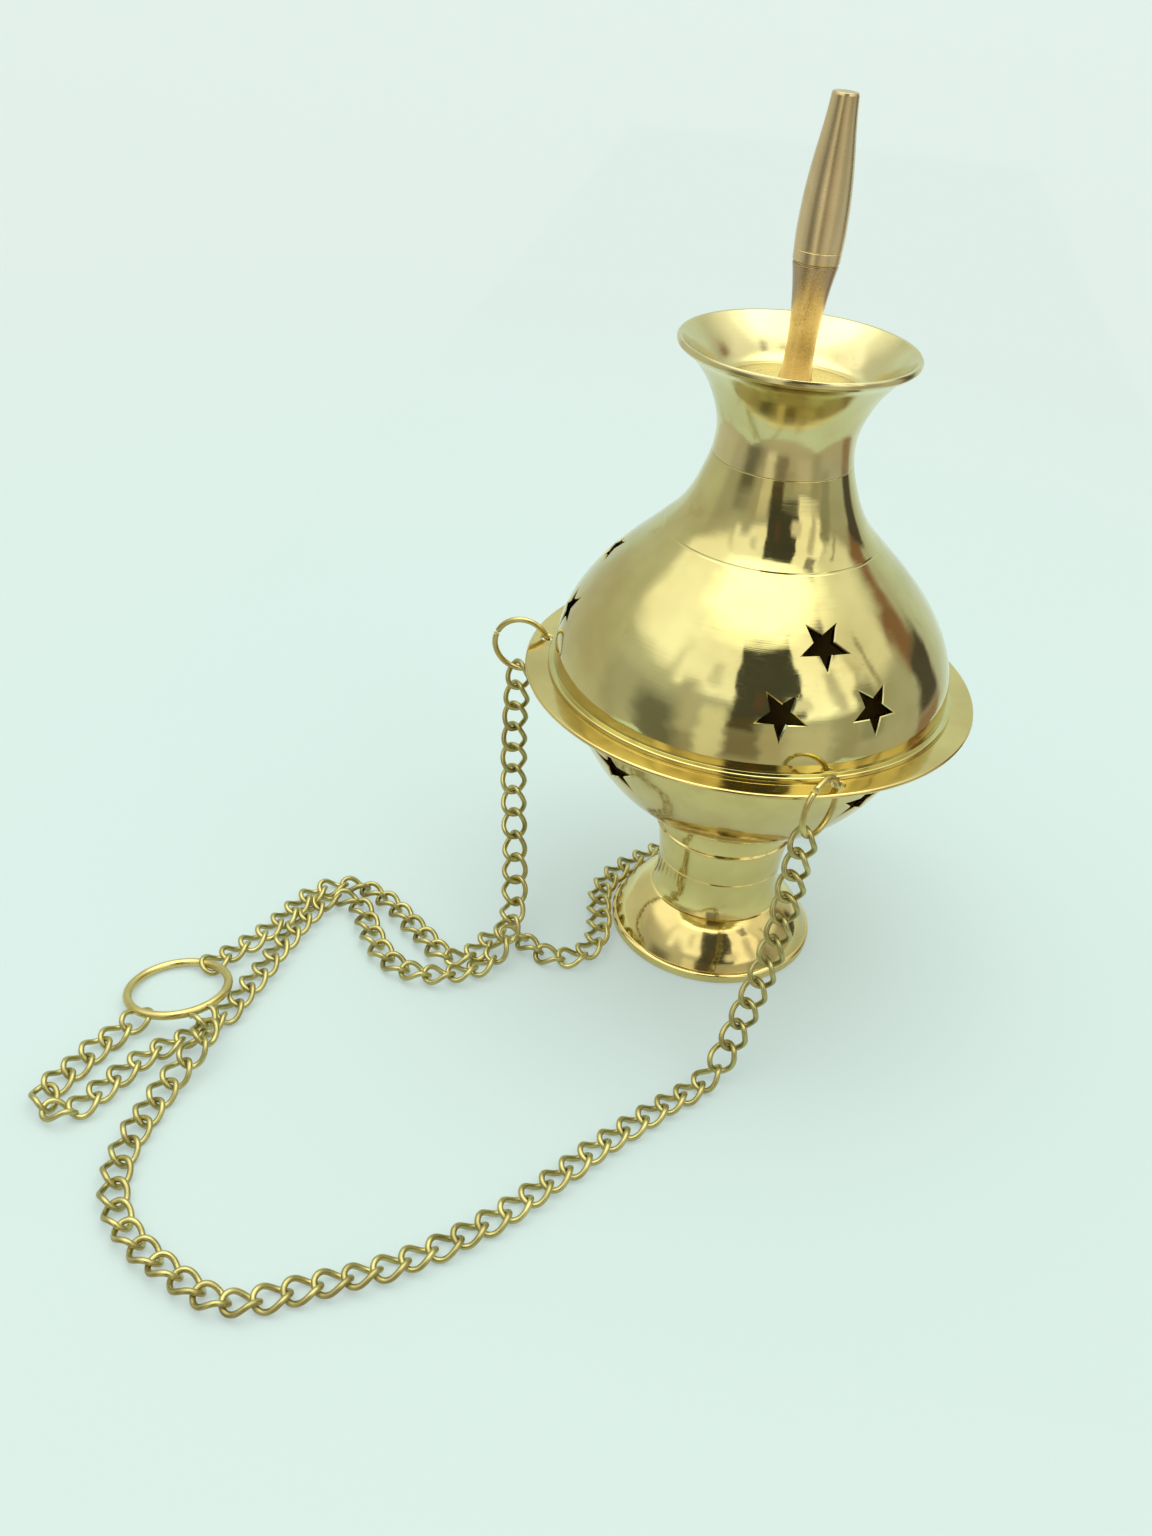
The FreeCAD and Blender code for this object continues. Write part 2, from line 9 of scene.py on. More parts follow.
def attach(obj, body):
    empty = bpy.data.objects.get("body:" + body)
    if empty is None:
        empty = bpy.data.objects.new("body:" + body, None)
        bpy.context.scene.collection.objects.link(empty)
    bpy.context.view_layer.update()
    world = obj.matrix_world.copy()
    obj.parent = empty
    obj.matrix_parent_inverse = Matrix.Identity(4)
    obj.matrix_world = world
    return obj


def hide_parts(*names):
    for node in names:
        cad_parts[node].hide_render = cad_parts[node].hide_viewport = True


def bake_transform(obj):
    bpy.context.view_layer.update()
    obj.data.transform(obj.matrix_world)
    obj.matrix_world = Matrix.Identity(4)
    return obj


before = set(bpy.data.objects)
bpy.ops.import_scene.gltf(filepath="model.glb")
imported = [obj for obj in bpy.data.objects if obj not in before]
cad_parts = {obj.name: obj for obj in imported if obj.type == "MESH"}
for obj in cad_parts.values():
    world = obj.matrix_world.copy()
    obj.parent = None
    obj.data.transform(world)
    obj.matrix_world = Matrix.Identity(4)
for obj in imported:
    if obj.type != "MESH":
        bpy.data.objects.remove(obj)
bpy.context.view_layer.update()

MM = 0.001
RNG = random.Random(7)


# ------------------------------------------------------------------ camera
def make_camera():
    pan, pitch, roll = math.radians(6.96), math.radians(32.31), math.radians(5.28)
    cp, sp = math.cos(pan), math.sin(pan)
    fwd0, right = Vector((-sp, cp, 0)), Vector((cp, sp, 0))
    down = Vector((0, 0, -1))
    fwd = fwd0 * math.cos(pitch) + down * math.sin(pitch)
    up = fwd0 * math.sin(pitch) - down * math.cos(pitch)
    r2 = right * math.cos(roll) + up * math.sin(roll)
    u2 = -right * math.sin(roll) + up * math.cos(roll)
    cam = bpy.data.cameras.new("view")
    cam.sensor_fit = "AUTO"
    cam.sensor_width = 36.0
    cam.lens = 1506.7 / 1536.0 * 36.0
    cam.clip_start, cam.clip_end = 0.01, 60.0
    ob = bpy.data.objects.new("view", cam)
    m = Matrix((r2, u2, -fwd)).transposed().to_4x4()
    m.translation = Vector((0.0, -0.24052, 0.18376))
    ob.matrix_world = m
    bpy.context.scene.collection.objects.link(ob)
    bpy.context.scene.camera = ob
    return ob


make_camera()


# ------------------------------------------------------------------ materials
class Nodes:
    def __init__(self, name):
        self.mat = bpy.data.materials.new(name)
        self.mat.use_nodes = True
        self.t = self.mat.node_tree
        self.t.nodes.clear()
        self.out = self.t.nodes.new("ShaderNodeOutputMaterial")
        self.bsdf = self.t.nodes.new("ShaderNodeBsdfPrincipled")
        self.t.links.new(self.bsdf.outputs[0], self.out.inputs[0])

    def new(self, kind, **props):
        n = self.t.nodes.new(kind)
        for k, v in props.items():
            setattr(n, k, v)
        return n

    def link(self, a, b):
        self.t.links.new(a, b)

    def math(self, op, a, b=None, c=None, clamp=False):
        n = self.new("ShaderNodeMath", operation=op, use_clamp=clamp)
        for i, x in enumerate((a, b, c)):
            if x is None:
                continue
            if isinstance(x, (int, float)):
                n.inputs[i].default_value = x
            else:
                self.link(x, n.inputs[i])
        return n.outputs[0]

    def ramp(self, fac, stops):
        n = self.new("ShaderNodeValToRGB")
        els = n.color_ramp.elements
        while len(els) > 1:
            els.remove(els[-1])
        els[0].position, els[0].color = stops[0][0], stops[0][1]
        for p, c in stops[1:]:
            e = els.new(p)
            e.color = c
        self.link(fac, n.inputs[0])
        return n.outputs[0]

    def noise(self, vec, scale, detail=2.0, rough=0.5, dist=0.0):
        n = self.new("ShaderNodeTexNoise")
        n.inputs["Scale"].default_value = scale
        n.inputs["Detail"].default_value = detail
        n.inputs["Roughness"].default_value = rough
        n.inputs["Distortion"].default_value = dist
        self.link(vec, n.inputs["Vector"])
        return n.outputs[0]

    def mix(self, fac, a, b):
        n = self.new("ShaderNodeMix", data_type="RGBA")
        for sock, x in ((n.inputs[0], fac), (n.inputs[6], a), (n.inputs[7], b)):
            if isinstance(x, (int, float)):
                sock.default_value = x
            elif isinstance(x, tuple):
                sock.default_value = x
            else:
                self.link(x, sock)
        return n.outputs[2]

    def bump(self, height, strength, distance, normal=None):
        n = self.new("ShaderNodeBump")
        n.inputs["Strength"].default_value = strength
        n.inputs["Distance"].default_value = distance
        self.link(height, n.inputs["Height"])
        if normal is not None:
            self.link(normal, n.inputs["Normal"])
        return n.outputs[0]


def rgb(r, g, b):
    """sRGB 0..255 to linear RGBA."""
    def f(c):
        c /= 255.0
        return c / 12.92 if c <= 0.04045 else ((c + 0.055) / 1.055) ** 2.4
    return (f(r), f(g), f(b), 1.0)


def turned_brass(name, base, dark, rough=0.11, rough_var=0.09, groove=0.35, wave=0.35, tarnish=0.5, aniso=0.25,
                 groove_scale=2600.0):
    """Polished brass off the lathe: fine turning lines round the axis, slight waviness, faint tarnish and hairlines."""
    k = Nodes(name)
    tc = k.new("ShaderNodeTexCoord")
    obj = tc.outputs["Object"]
    sep = k.new("ShaderNodeSeparateXYZ")
    k.link(obj, sep.inputs[0])
    x, y, z = sep.outputs
    rad = k.math("SQRT", k.math("ADD", k.math("MULTIPLY", x, x), k.math("MULTIPLY", y, y)))
    ring = k.new("ShaderNodeCombineXYZ")
    k.link(rad, ring.inputs[0])
    k.link(z, ring.inputs[2])
    # turning lines: noise that only sees radius and height, broken up a little round the axis
    az = k.math("ARCTAN2", y, x)
    k.link(k.math("MULTIPLY", az, 0.0006), ring.inputs[1])
    lines = k.noise(ring.outputs[0], groove_scale, 3.0, 0.62)
    lines_wide = k.noise(ring.outputs[0], groove_scale * 0.16, 2.0, 0.5)
    # hairlines from polishing: long thin streaks, mostly round the axis
    hv = k.new("ShaderNodeCombineXYZ")
    k.link(k.math("MULTIPLY", az, 0.012), hv.inputs[0])
    k.link(rad, hv.inputs[1])
    k.link(z, hv.inputs[2])
    hair = k.noise(hv.outputs[0], 1500.0, 4.0, 0.7, 0.3)
    cloud = k.noise(obj, 55.0, 3.0, 0.55)
    fine = k.noise(obj, 420.0, 4.0, 0.6)
    blot = k.noise(obj, 130.0, 5.0, 0.62, 0.4)
    # colour
    tone = k.ramp(cloud, [(0.35, (0, 0, 0, 1)), (0.68, (1, 1, 1, 1))])
    col = k.mix(tone, base, tuple(0.5 * (a + b) for a, b in zip(base, dark)))
    spot = k.ramp(blot, [(0.62, (0, 0, 0, 1)), (0.78, (1, 1, 1, 1))])
    spot = k.math("MULTIPLY", spot, tarnish, clamp=True)
    col = k.mix(spot, col, dark)
    k.link(col, k.bsdf.inputs["Base Color"])
    # roughness
    rr = k.math("MULTIPLY_ADD", lines, rough_var, rough - 0.5 * rough_var)
    rr = k.math("MULTIPLY_ADD", k.ramp(hair, [(0.5, (0, 0, 0, 1)), (0.75, (1, 1, 1, 1))]), rough_var * 0.9, rr)
    rr = k.math("MULTIPLY_ADD", spot, 0.18, rr, clamp=True)
    k.link(rr, k.bsdf.inputs["Roughness"])
    # relief
    b1 = k.bump(lines, groove, 0.000012)
    b2 = k.bump(lines_wide, groove, 0.00003, b1)
    b3 = k.bump(cloud, wave, 0.0007, b2)
    b4 = k.bump(fine, 0.10, 0.00003, b3)
    k.link(b4, k.bsdf.inputs["Normal"])
    k.bsdf.inputs["Metallic"].default_value = 1.0
    k.bsdf.inputs["Anisotropic"].default_value = aniso
    tan = k.new("ShaderNodeTangent", direction_type="RADIAL", axis="Z")
    k.link(tan.outputs[0], k.bsdf.inputs["Tangent"])
    return k.mat


def wire_brass(name, base, dark, rough=0.34):
    """Drawn brass wire: duller, mottled, with darker patches."""
    k = Nodes(name)
    tc = k.new("ShaderNodeTexCoord")
    obj = tc.outputs["Object"]
    mott = k.noise(obj, 260.0, 3.0, 0.6)
    patch = k.noise(obj, 70.0, 2.0, 0.5)
    fine = k.noise(obj, 1900.0, 3.0, 0.6)
    f = k.ramp(mott, [(0.36, (0, 0, 0, 1)), (0.66, (1, 1, 1, 1))])
    f = k.math("MULTIPLY_ADD", k.ramp(patch, [(0.4, (0, 0, 0, 1)), (0.7, (1, 1, 1, 1))]), 0.35,
               k.math("MULTIPLY", f, 0.45), clamp=True)
    k.link(k.mix(f, base, dark), k.bsdf.inputs["Base Color"])
    k.link(k.math("MULTIPLY_ADD", mott, 0.22, rough - 0.09, clamp=True), k.bsdf.inputs["Roughness"])
    b1 = k.bump(fine, 0.25, 0.00002)
    b2 = k.bump(mott, 0.3, 0.00006, b1)
    k.link(b2, k.bsdf.inputs["Normal"])
    k.bsdf.inputs["Metallic"].default_value = 1.0
    return k.mat


M_LID = turned_brass("lid_brass", rgb(218, 208, 142), rgb(170, 146, 84), rough=0.062, aniso=0.2, wave=0.3)
M_BOWL = turned_brass("bowl_brass", rgb(226, 205, 134), rgb(176, 146, 82), rough=0.10, tarnish=0.35)
M_FOOT = turned_brass("foot_brass", rgb(228, 209, 138), rgb(174, 144, 80), rough=0.09, tarnish=0.4)
M_HANDLE = turned_brass("handle_brass", rgb(232, 210, 160), rgb(184, 154, 110), rough=0.26, tarnish=0.4, wave=0.1)
# painted shade: the handle's foot, sunk in the mouth cup, gets a darker brass than the grip
M_HANDLE_BASE_SHADED = turned_brass("handle_base_brass_shaded", rgb(190, 170, 136), rgb(146, 122, 92), rough=0.24, tarnish=0.4, wave=0.1)
M_INNER = turned_brass("inner_brass", rgb(186, 158, 92), rgb(112, 84, 44), rough=0.36, rough_var=0.2, tarnish=0.9)
M_CHAIN = wire_brass("chain_brass", rgb(198, 188, 124), rgb(146, 134, 80), 0.34)
M_RING = wire_brass("ring_brass", rgb(218, 200, 130), rgb(168, 146, 82), 0.27)
# the last floor colour is painted shade: the floor farther from the object is painted slightly darker and greyer than
# near it
FLOOR_A, FLOOR_B, FLOOR_FAR_SHADED = rgb(150, 166, 163), rgb(147, 163, 160), rgb(152, 160, 158)
M_CUP = turned_brass("cup_brass", rgb(228, 216, 158), rgb(180, 158, 100), rough=0.15, aniso=0.2, wave=0.3)
M_CUP_FLOOR = turned_brass("cup_floor_brass", rgb(190, 178, 130), rgb(122, 110, 74), rough=0.24, rough_var=0.25,
                           groove=1.0, tarnish=0.8, groove_scale=1500.0)


# ------------------------------------------------------------------ mesh helpers
def to_object(name, verts, faces, normals, mats, face_mats=None):
    """verts in mm; normals is one list of corner normals per face, or None for a flat face."""
    me = bpy.data.meshes.new(name)
    me.from_pydata([tuple(c * MM for c in v) for v in verts], [], [tuple(f) for f in faces])
    for m in mats:
        me.materials.append(m)
    if face_mats is not None:
        me.polygons.foreach_set("material_index", face_mats)
    me.polygons.foreach_set("use_smooth", [True] * len(me.polygons))
    me.update()
    if normals is not None:
        pn = np.empty(len(me.polygons) * 3, dtype=np.float32)
        me.polygons.foreach_get("normal", pn)
        pn = pn.reshape(-1, 3)
        loops = []
        for i, n in enumerate(normals):
            if n is None:
                loops.extend([tuple(pn[i])] * len(faces[i]))
            else:
                loops.extend(n)
        me.normals_split_custom_set(loops)
    ob = bpy.data.objects.new(name, me)
    bpy.context.scene.collection.objects.link(ob)
    return ob


def spline(pts, step):
    """Natural cubic spline through pts, about step apart."""
    p = np.array(pts, float)
    d = np.linalg.norm(np.diff(p, axis=0), axis=1)
    t = np.concatenate([[0], np.cumsum(d)])
    n = len(p)
    A = np.zeros((n, n))
    b = np.zeros((n, p.shape[1]))
    A[0, 0] = A[-1, -1] = 1
    for i in range(1, n - 1):
        h0, h1 = d[i - 1], d[i]
        A[i, i - 1], A[i, i], A[i, i + 1] = h0, 2 * (h0 + h1), h1
        b[i] = 6 * ((p[i + 1] - p[i]) / h1 - (p[i] - p[i - 1]) / h0)
    m = np.linalg.solve(A, b)
    k = max(2, int(round(t[-1] / step)))
    out = []
    for s in np.linspace(0, t[-1], k + 1):
        i = min(n - 2, max(0, int(np.searchsorted(t, s) - 1)))
        h = d[i]
        a1, a0 = (s - t[i]) / h, (t[i + 1] - s) / h
        out.append(a0 * p[i] + a1 * p[i + 1] + ((a0 ** 3 - a0) * m[i] + (a1 ** 3 - a1) * m[i + 1]) * h * h / 6)
    return [tuple(q) for q in out]


def profile(verts, curves, rounds=None, step=0.7, closed=True, steps=None):
    """Dense (r, z) outline. verts are corners, curves maps a side to its inner points, rounds a corner to a radius."""
    rounds, steps = rounds or {}, steps or {}
    n = len(verts)
    sides = []
    for i in range(n if closed else n - 1):
        a, b = verts[i], verts[(i + 1) % n]
        st = steps.get(i, step)
        if i in curves:
            sides.append(spline([a] + list(curves[i]) + [b], st))
        else:
            L = math.dist(a, b)
            k = max(1, int(round(L / st)))
            sides.append([(a[0] + (b[0] - a[0]) * j / k, a[1] + (b[1] - a[1]) * j / k) for j in range(k + 1)])
    m = len(sides)
    corner = {}
    for i in range(n):
        r = rounds.get(i, 0.0)
        prev = sides[(i - 1) % m] if (closed or i > 0) else None
        nxt = sides[i] if (closed or i < n - 1) else None
        if r <= 0 or prev is None or nxt is None:
            corner[i] = [verts[i]]
            continue
        v = np.array(verts[i])
        d0 = np.array(prev[-1]) - np.array(prev[-2])
        d1 = np.array(nxt[1]) - np.array(nxt[0])
        d0, d1 = d0 / np.linalg.norm(d0), d1 / np.linalg.norm(d1)
        ang = math.acos(max(-1, min(1, float(d0 @ d1))))
        if ang < 0.05:
            corner[i] = [verts[i]]
            continue
        t = r * math.tan(ang / 2)
        p0, p1 = v - d0 * t, v + d1 * t
        s = math.copysign(1, d0[0] * d1[1] - d0[1] * d1[0])
        nrm = np.array([-d0[1], d0[0]]) * s
        c = p0 + nrm * r
        k = max(2, int(math.ceil(ang / 0.3)))
        arc = []
        for j in range(k + 1):
            w = ang * j / k
            arc.append(tuple(c - nrm * r * math.cos(w) + d0 * r * math.sin(w)))
        corner[i] = arc
        sides[(i - 1) % m] = [q for q in prev if math.dist(q, verts[i]) > t * 1.02 + 0.02] + [tuple(p0)]
        sides[i] = [tuple(p1)] + [q for q in sides[i] if math.dist(q, verts[i]) > t * 1.02 + 0.02]
    out, tag = [], []
    for i in range(m):
        for q in corner[i]:
            out.append(q)
            tag.append(i)
        for q in sides[i][1:-1]:
            out.append(q)
            tag.append(i)
    if not closed:
        out.append(verts[-1])
        tag.append(n - 1)
    return out, tag


def line_normals(pts, closed=True):
    """Outward normals of an outline that runs anticlockwise in the (r, z) plane, longer sides counting more."""
    p = np.array(pts)
    n = len(p)
    seg = np.roll(p, -1, axis=0) - p
    if not closed:
        seg[-1] = seg[-2]
    perp = np.stack([seg[:, 1], -seg[:, 0]], axis=1)       # length-weighted already
    out = perp + np.roll(perp, 1, axis=0)
    if not closed:
        out[0] = perp[0]
    out /= np.maximum(1e-9, np.linalg.norm(out, axis=1))[:, None]
    return out


def area2(pts):
    p = np.array(pts)
    q = np.roll(p, -1, axis=0)
    return float(np.sum(p[:, 0] * q[:, 1] - q[:, 0] * p[:, 1]))


class Lathe:
    """A turned solid from a closed outline, with cut-outs through its walls."""

    def __init__(self, verts, curves, rounds=None, step=0.7, steps=None, cols=240, closed=True, material=None):
        self.pts, self.tag = profile(verts, curves, rounds, step, closed, steps)
        self.closed = closed
        self.nrm = line_normals(self.pts, closed)
        if closed and area2(self.pts) < 0:
            self.nrm = -self.nrm
            self.flip = True
        else:
            self.flip = False
        self.N = cols
        p = np.array(self.pts)
        d = np.linalg.norm(np.roll(p, -1, axis=0) - p, axis=1)
        self.s = np.concatenate([[0], np.cumsum(d)])[:-1]
        self.total = float(d.sum())
        self.v, self.f, self.n, self.fm = [], [], [], []
        self.mat_of_tag = material or (lambda t: 0)
        self.index = {}
        for j, (r, z) in enumerate(self.pts):
            for i in range(self.N if r > 1e-6 else 1):
                a = 2 * math.pi * i / self.N
                self.index[(j, i)] = len(self.v)
                self.v.append((r * math.cos(a), r * math.sin(a), z))
        self.cut = set()
        self.patches = []

    def vid(self, j, i):
        return self.index.get((j, i % self.N), self.index.get((j, 0)))

    def normal(self, j, i):
        a = 2 * math.pi * (i % self.N) / self.N
        n = self.nrm[j]
        return (n[0] * math.cos(a), n[0] * math.sin(a), n[1])

    def rows(self, lo, hi):
        """Outline points whose sides lo..hi (tags) hold them, as index list."""
        return [j for j, t in enumerate(self.tag) if lo <= t <= hi]

    def on_wall(self, side, p, d):
        """Where the line p + t d meets the wall made by one side of the outline: (azimuth, s, point)."""
        js = self.rows(side, side) + [(self.rows(side, side)[-1] + 1) % len(self.pts)]
        z = np.array([self.pts[j][1] for j in js])
        r = np.array([self.pts[j][0] for j in js])
        s = np.array([self.s[j] for j in js])
        o = np.argsort(z)
        z, r, s = z[o], r[o], s[o]
        best = None
        prev = None
        for t in np.linspace(-14, 14, 561):
            q = p + d * t
            if q.z < z[0] or q.z > z[-1]:
                prev = None
                continue
            g = math.hypot(q.x, q.y) - float(np.interp(q.z, z, r))
            if prev is not None and prev[1] * g <= 0:
                a, b = prev[0], t
                ga = prev[1]
                for _ in range(30):
                    m = 0.5 * (a + b)
                    w = p + d * m
                    gm = math.hypot(w.x, w.y) - float(np.interp(w.z, z, r))
                    if ga * gm <= 0:
                        b = m
                    else:
                        a, ga = m, gm
                if best is None or abs(m) < abs(best):
                    best = m
            prev = (t, g)
        if best is None:
            raise ValueError("line misses the wall")
        w = p + d * best
        return math.atan2(w.y, w.x), float(np.interp(w.z, z, s)), w

    def at(self, a, s):
        """Point and normal of the surface at azimuth a and outline length s."""
        j = int(np.searchsorted(self.s, s, side="right") - 1)
        k = (j + 1) % len(self.pts)
        L = (self.total if k == 0 else self.s[k]) - self.s[j]
        w = 0 if L < 1e-9 else (s - self.s[j]) / L
        r = self.pts[j][0] * (1 - w) + self.pts[k][0] * w
        z = self.pts[j][1] * (1 - w) + self.pts[k][1] * w
        n = self.nrm[j] * (1 - w) + self.nrm[k] * w
        n = n / np.linalg.norm(n)
        return (r * math.cos(a), r * math.sin(a), z), (n[0] * math.cos(a), n[0] * math.sin(a), n[1])

    def patch(self, loop, margin=1):
        """loop: list of (azimuth, s). Cuts a hole of that outline; returns its vertex numbers."""
        base = loop[0][0]
        loop = [(base + ((a - base + math.pi) % (2 * math.pi) - math.pi), s) for a, s in loop]
        da = 2 * math.pi / self.N
        amin, amax = min(a for a, _ in loop), max(a for a, _ in loop)
        smin, smax = min(s for _, s in loop), max(s for _, s in loop)
        i0, i1 = int(math.floor(amin / da)) - margin, int(math.ceil(amax / da)) + margin
        j0 = int(np.searchsorted(self.s, smin, side="right") - 1) - margin
        j1 = int(np.searchsorted(self.s, smax, side="left")) + margin
        rm = np.mean([self.pts[j][0] for j in range(j0, j1 + 1)])
        pts2, ids = [], []
        poly = [(a * rm, s) for a, s in loop]

        def inside(q):
            c = False
            for u in range(len(poly)):
                x1, y1 = poly[u]
                x2, y2 = poly[(u + 1) % len(poly)]
                if (y1 > q[1]) != (y2 > q[1]) and q[0] < (x2 - x1) * (q[1] - y1) / (y2 - y1) + x1:
                    c = not c
            return c

        def near(q):
            best = 9e9
            for u in range(len(poly)):
                x1, y1 = poly[u]
                x2, y2 = poly[(u + 1) % len(poly)]
                dx, dy = x2 - x1, y2 - y1
                t = max(0, min(1, ((q[0] - x1) * dx + (q[1] - y1) * dy) / (dx * dx + dy * dy)))
                best = min(best, math.hypot(q[0] - x1 - t * dx, q[1] - y1 - t * dy))
            return best

        border = []
        for i in range(i0, i1):
            border.append((j0, i))
        for j in range(j0, j1):
            border.append((j, i1))
        for i in range(i1, i0, -1):
            border.append((j1, i))
        for j in range(j1, j0, -1):
            border.append((j, i0))
        bset = set(border)
        normals = []
        for j, i in border:
            pts2.append(Vector((i * da * rm, float(self.s[j]))))
            ids.append(self.vid(j, i))
            normals.append(self.normal(j, i))
        nb = len(border)
        edges = [(k, (k + 1) % nb) for k in range(nb)]
        for j in range(j0 + 1, j1):
            for i in range(i0 + 1, i1):
                q = (i * da * rm, float(self.s[j]))
                if inside(q) or near(q) < 0.22:
                    continue
                pts2.append(Vector(q))
                ids.append(self.vid(j, i))
                normals.append(self.normal(j, i))
        start = len(pts2)
        loop_ids = []
        for a, s in loop:
            p, n = self.at(a, s)
            pts2.append(Vector((a * rm, s)))
            ids.append(len(self.v))
            loop_ids.append(len(self.v))
            self.v.append(p)
            normals.append(n)
        edges += [(start + k, start + (k + 1) % len(loop)) for k in range(len(loop))]
        res = delaunay_2d_cdt(pts2, edges, [], 0, 1e-7, True)
        vout, _, fout, orig, _, _ = res
        mp = [o[0] if o else None for o in orig]
        for f in fout:
            c = (sum(vout[k].x for k in f) / 3, sum(vout[k].y for k in f) / 3)
            if inside(c):
                continue
            tri = [mp[k] for k in f]
            if None in tri:
                continue
            pos = [Vector(self.v[ids[k]]) for k in tri]
            nn = (pos[1] - pos[0]).cross(pos[2] - pos[0])
            want = Vector(normals[tri[0]])
            if nn.dot(want) < 0:
                tri = tri[::-1]
            self.f.append([ids[k] for k in tri])
            self.n.append([normals[k] for k in tri])
            self.fm.append(self.mat_of_tag(self.tag[j0]))
        for j in range(j0, j1):
            for i in range(i0, i1):
                self.cut.add((j, i % self.N))
        return loop_ids

    def strip(self, a, b):
        """Faces between two loops of equal length."""
        n = len(a)
        pa = [Vector(self.v[k]) for k in a]
        pb = [Vector(self.v[k]) for k in b]
        ca = sum(pa, Vector()) / n
        for k in range(n):
            q = [a[k], a[(k + 1) % n], b[(k + 1) % n], b[k]]
            p = [Vector(self.v[x]) for x in q]
            nn = (p[2] - p[0]).cross(p[3] - p[1])
            mid = (p[0] + p[1] + p[2] + p[3]) / 4
            if nn.dot(ca - mid) < 0:
                q = q[::-1]
            self.f.append(q)
            self.n.append(None)
            self.fm.append(self.edge_mat)

    edge_mat = 0

    def add_loop(self, pts):
        ids = []
        for p in pts:
            ids.append(len(self.v))
            self.v.append(tuple(p))
        return ids

    def finish(self, name, mats):
        M = len(self.pts)
        for j in range(M if self.closed else M - 1):
            k = (j + 1) % M
            r0, r1 = self.pts[j][0], self.pts[k][0]
            if r0 <= 1e-6 and r1 <= 1e-6:
                continue
            m = self.mat_of_tag(self.tag[j])
            for i in range(self.N):
                if (j, i) in self.cut:
                    continue
                a, b = self.vid(j, i), self.vid(j, i + 1)
                c, d = self.vid(k, i + 1), self.vid(k, i)
                q = [a, b, c, d]
                nn = [self.normal(j, i), self.normal(j, i + 1), self.normal(k, i + 1), self.normal(k, i)]
                if r0 <= 1e-6:
                    q, nn = [a, c, d], [(0, 0, self.nrm[j][1]), nn[2], nn[3]]
                elif r1 <= 1e-6:
                    q, nn = [a, b, c], [nn[0], nn[1], (0, 0, self.nrm[k][1])]
                if self.flip:
                    q, nn = q[::-1], nn[::-1]
                self.f.append(q)
                self.n.append(nn)
                self.fm.append(m)
        return to_object(name, self.v, self.f, self.n, mats, self.fm)


def star_points(size, tip_up, inner=0.42, grow=0.0, per_edge=4):
    """Star outline in its own plane, every side moved out by grow, then divided."""
    pts = []
    for k in range(10):
        t = math.radians((90.0 if tip_up else -90.0) + 36.0 * k)
        r = size if k % 2 == 0 else size * inner
        pts.append(np.array([r * math.cos(t), r * math.sin(t)]))
    if grow:
        lines = []
        for k in range(10):
            a, b = pts[k], pts[(k + 1) % 10]
            d = (b - a) / np.linalg.norm(b - a)
            lines.append((a + np.array([d[1], -d[0]]) * grow, d))
        new = []
        for k in range(10):
            (p, d), (q, e) = lines[k - 1], lines[k]
            t = np.linalg.solve(np.array([d, -e]).T, q - p)[0]
            new.append(p + d * t)
        pts = new
    out = []
    for k in range(10):
        a, b = pts[k], pts[(k + 1) % 10]
        for j in range(per_edge):
            out.append(a + (b - a) * j / per_edge)
    return out


def cut_star(lathe, outer_side, inner_side, az, z, r, tilt, size, tip_up):
    a, s = math.radians(az), math.radians(tilt)
    er, et = Vector((math.cos(a), math.sin(a), 0)), Vector((-math.sin(a), math.cos(a), 0))
    up = er * math.cos(s) + Vector((0, 0, 1)) * math.sin(s)
    n = et.cross(up)
    if n.dot(er) < 0:
        n = -n
    xd = up.cross(n)
    org = er * r + Vector((0, 0, z))

    def plane(q):
        return org + xd * float(q[0]) + up * float(q[1])

    big = star_points(size, tip_up, grow=0.16)
    nom = star_points(size, tip_up)
    low = star_points(size, tip_up, grow=-0.04)
    top = [lathe.on_wall(outer_side, plane(q), -n) for q in big]
    mid = [lathe.on_wall(outer_side, plane(q), -n)[2] - n * 0.17 for q in nom]
    bot = [lathe.on_wall(inner_side, plane(q), -n) for q in low]
    t = lathe.patch([(u[0], u[1]) for u in top])
    m = lathe.add_loop(mid)
    b = lathe.patch([(u[0], u[1]) for u in bot])
    lathe.strip(t, m)
    lathe.strip(m, b)


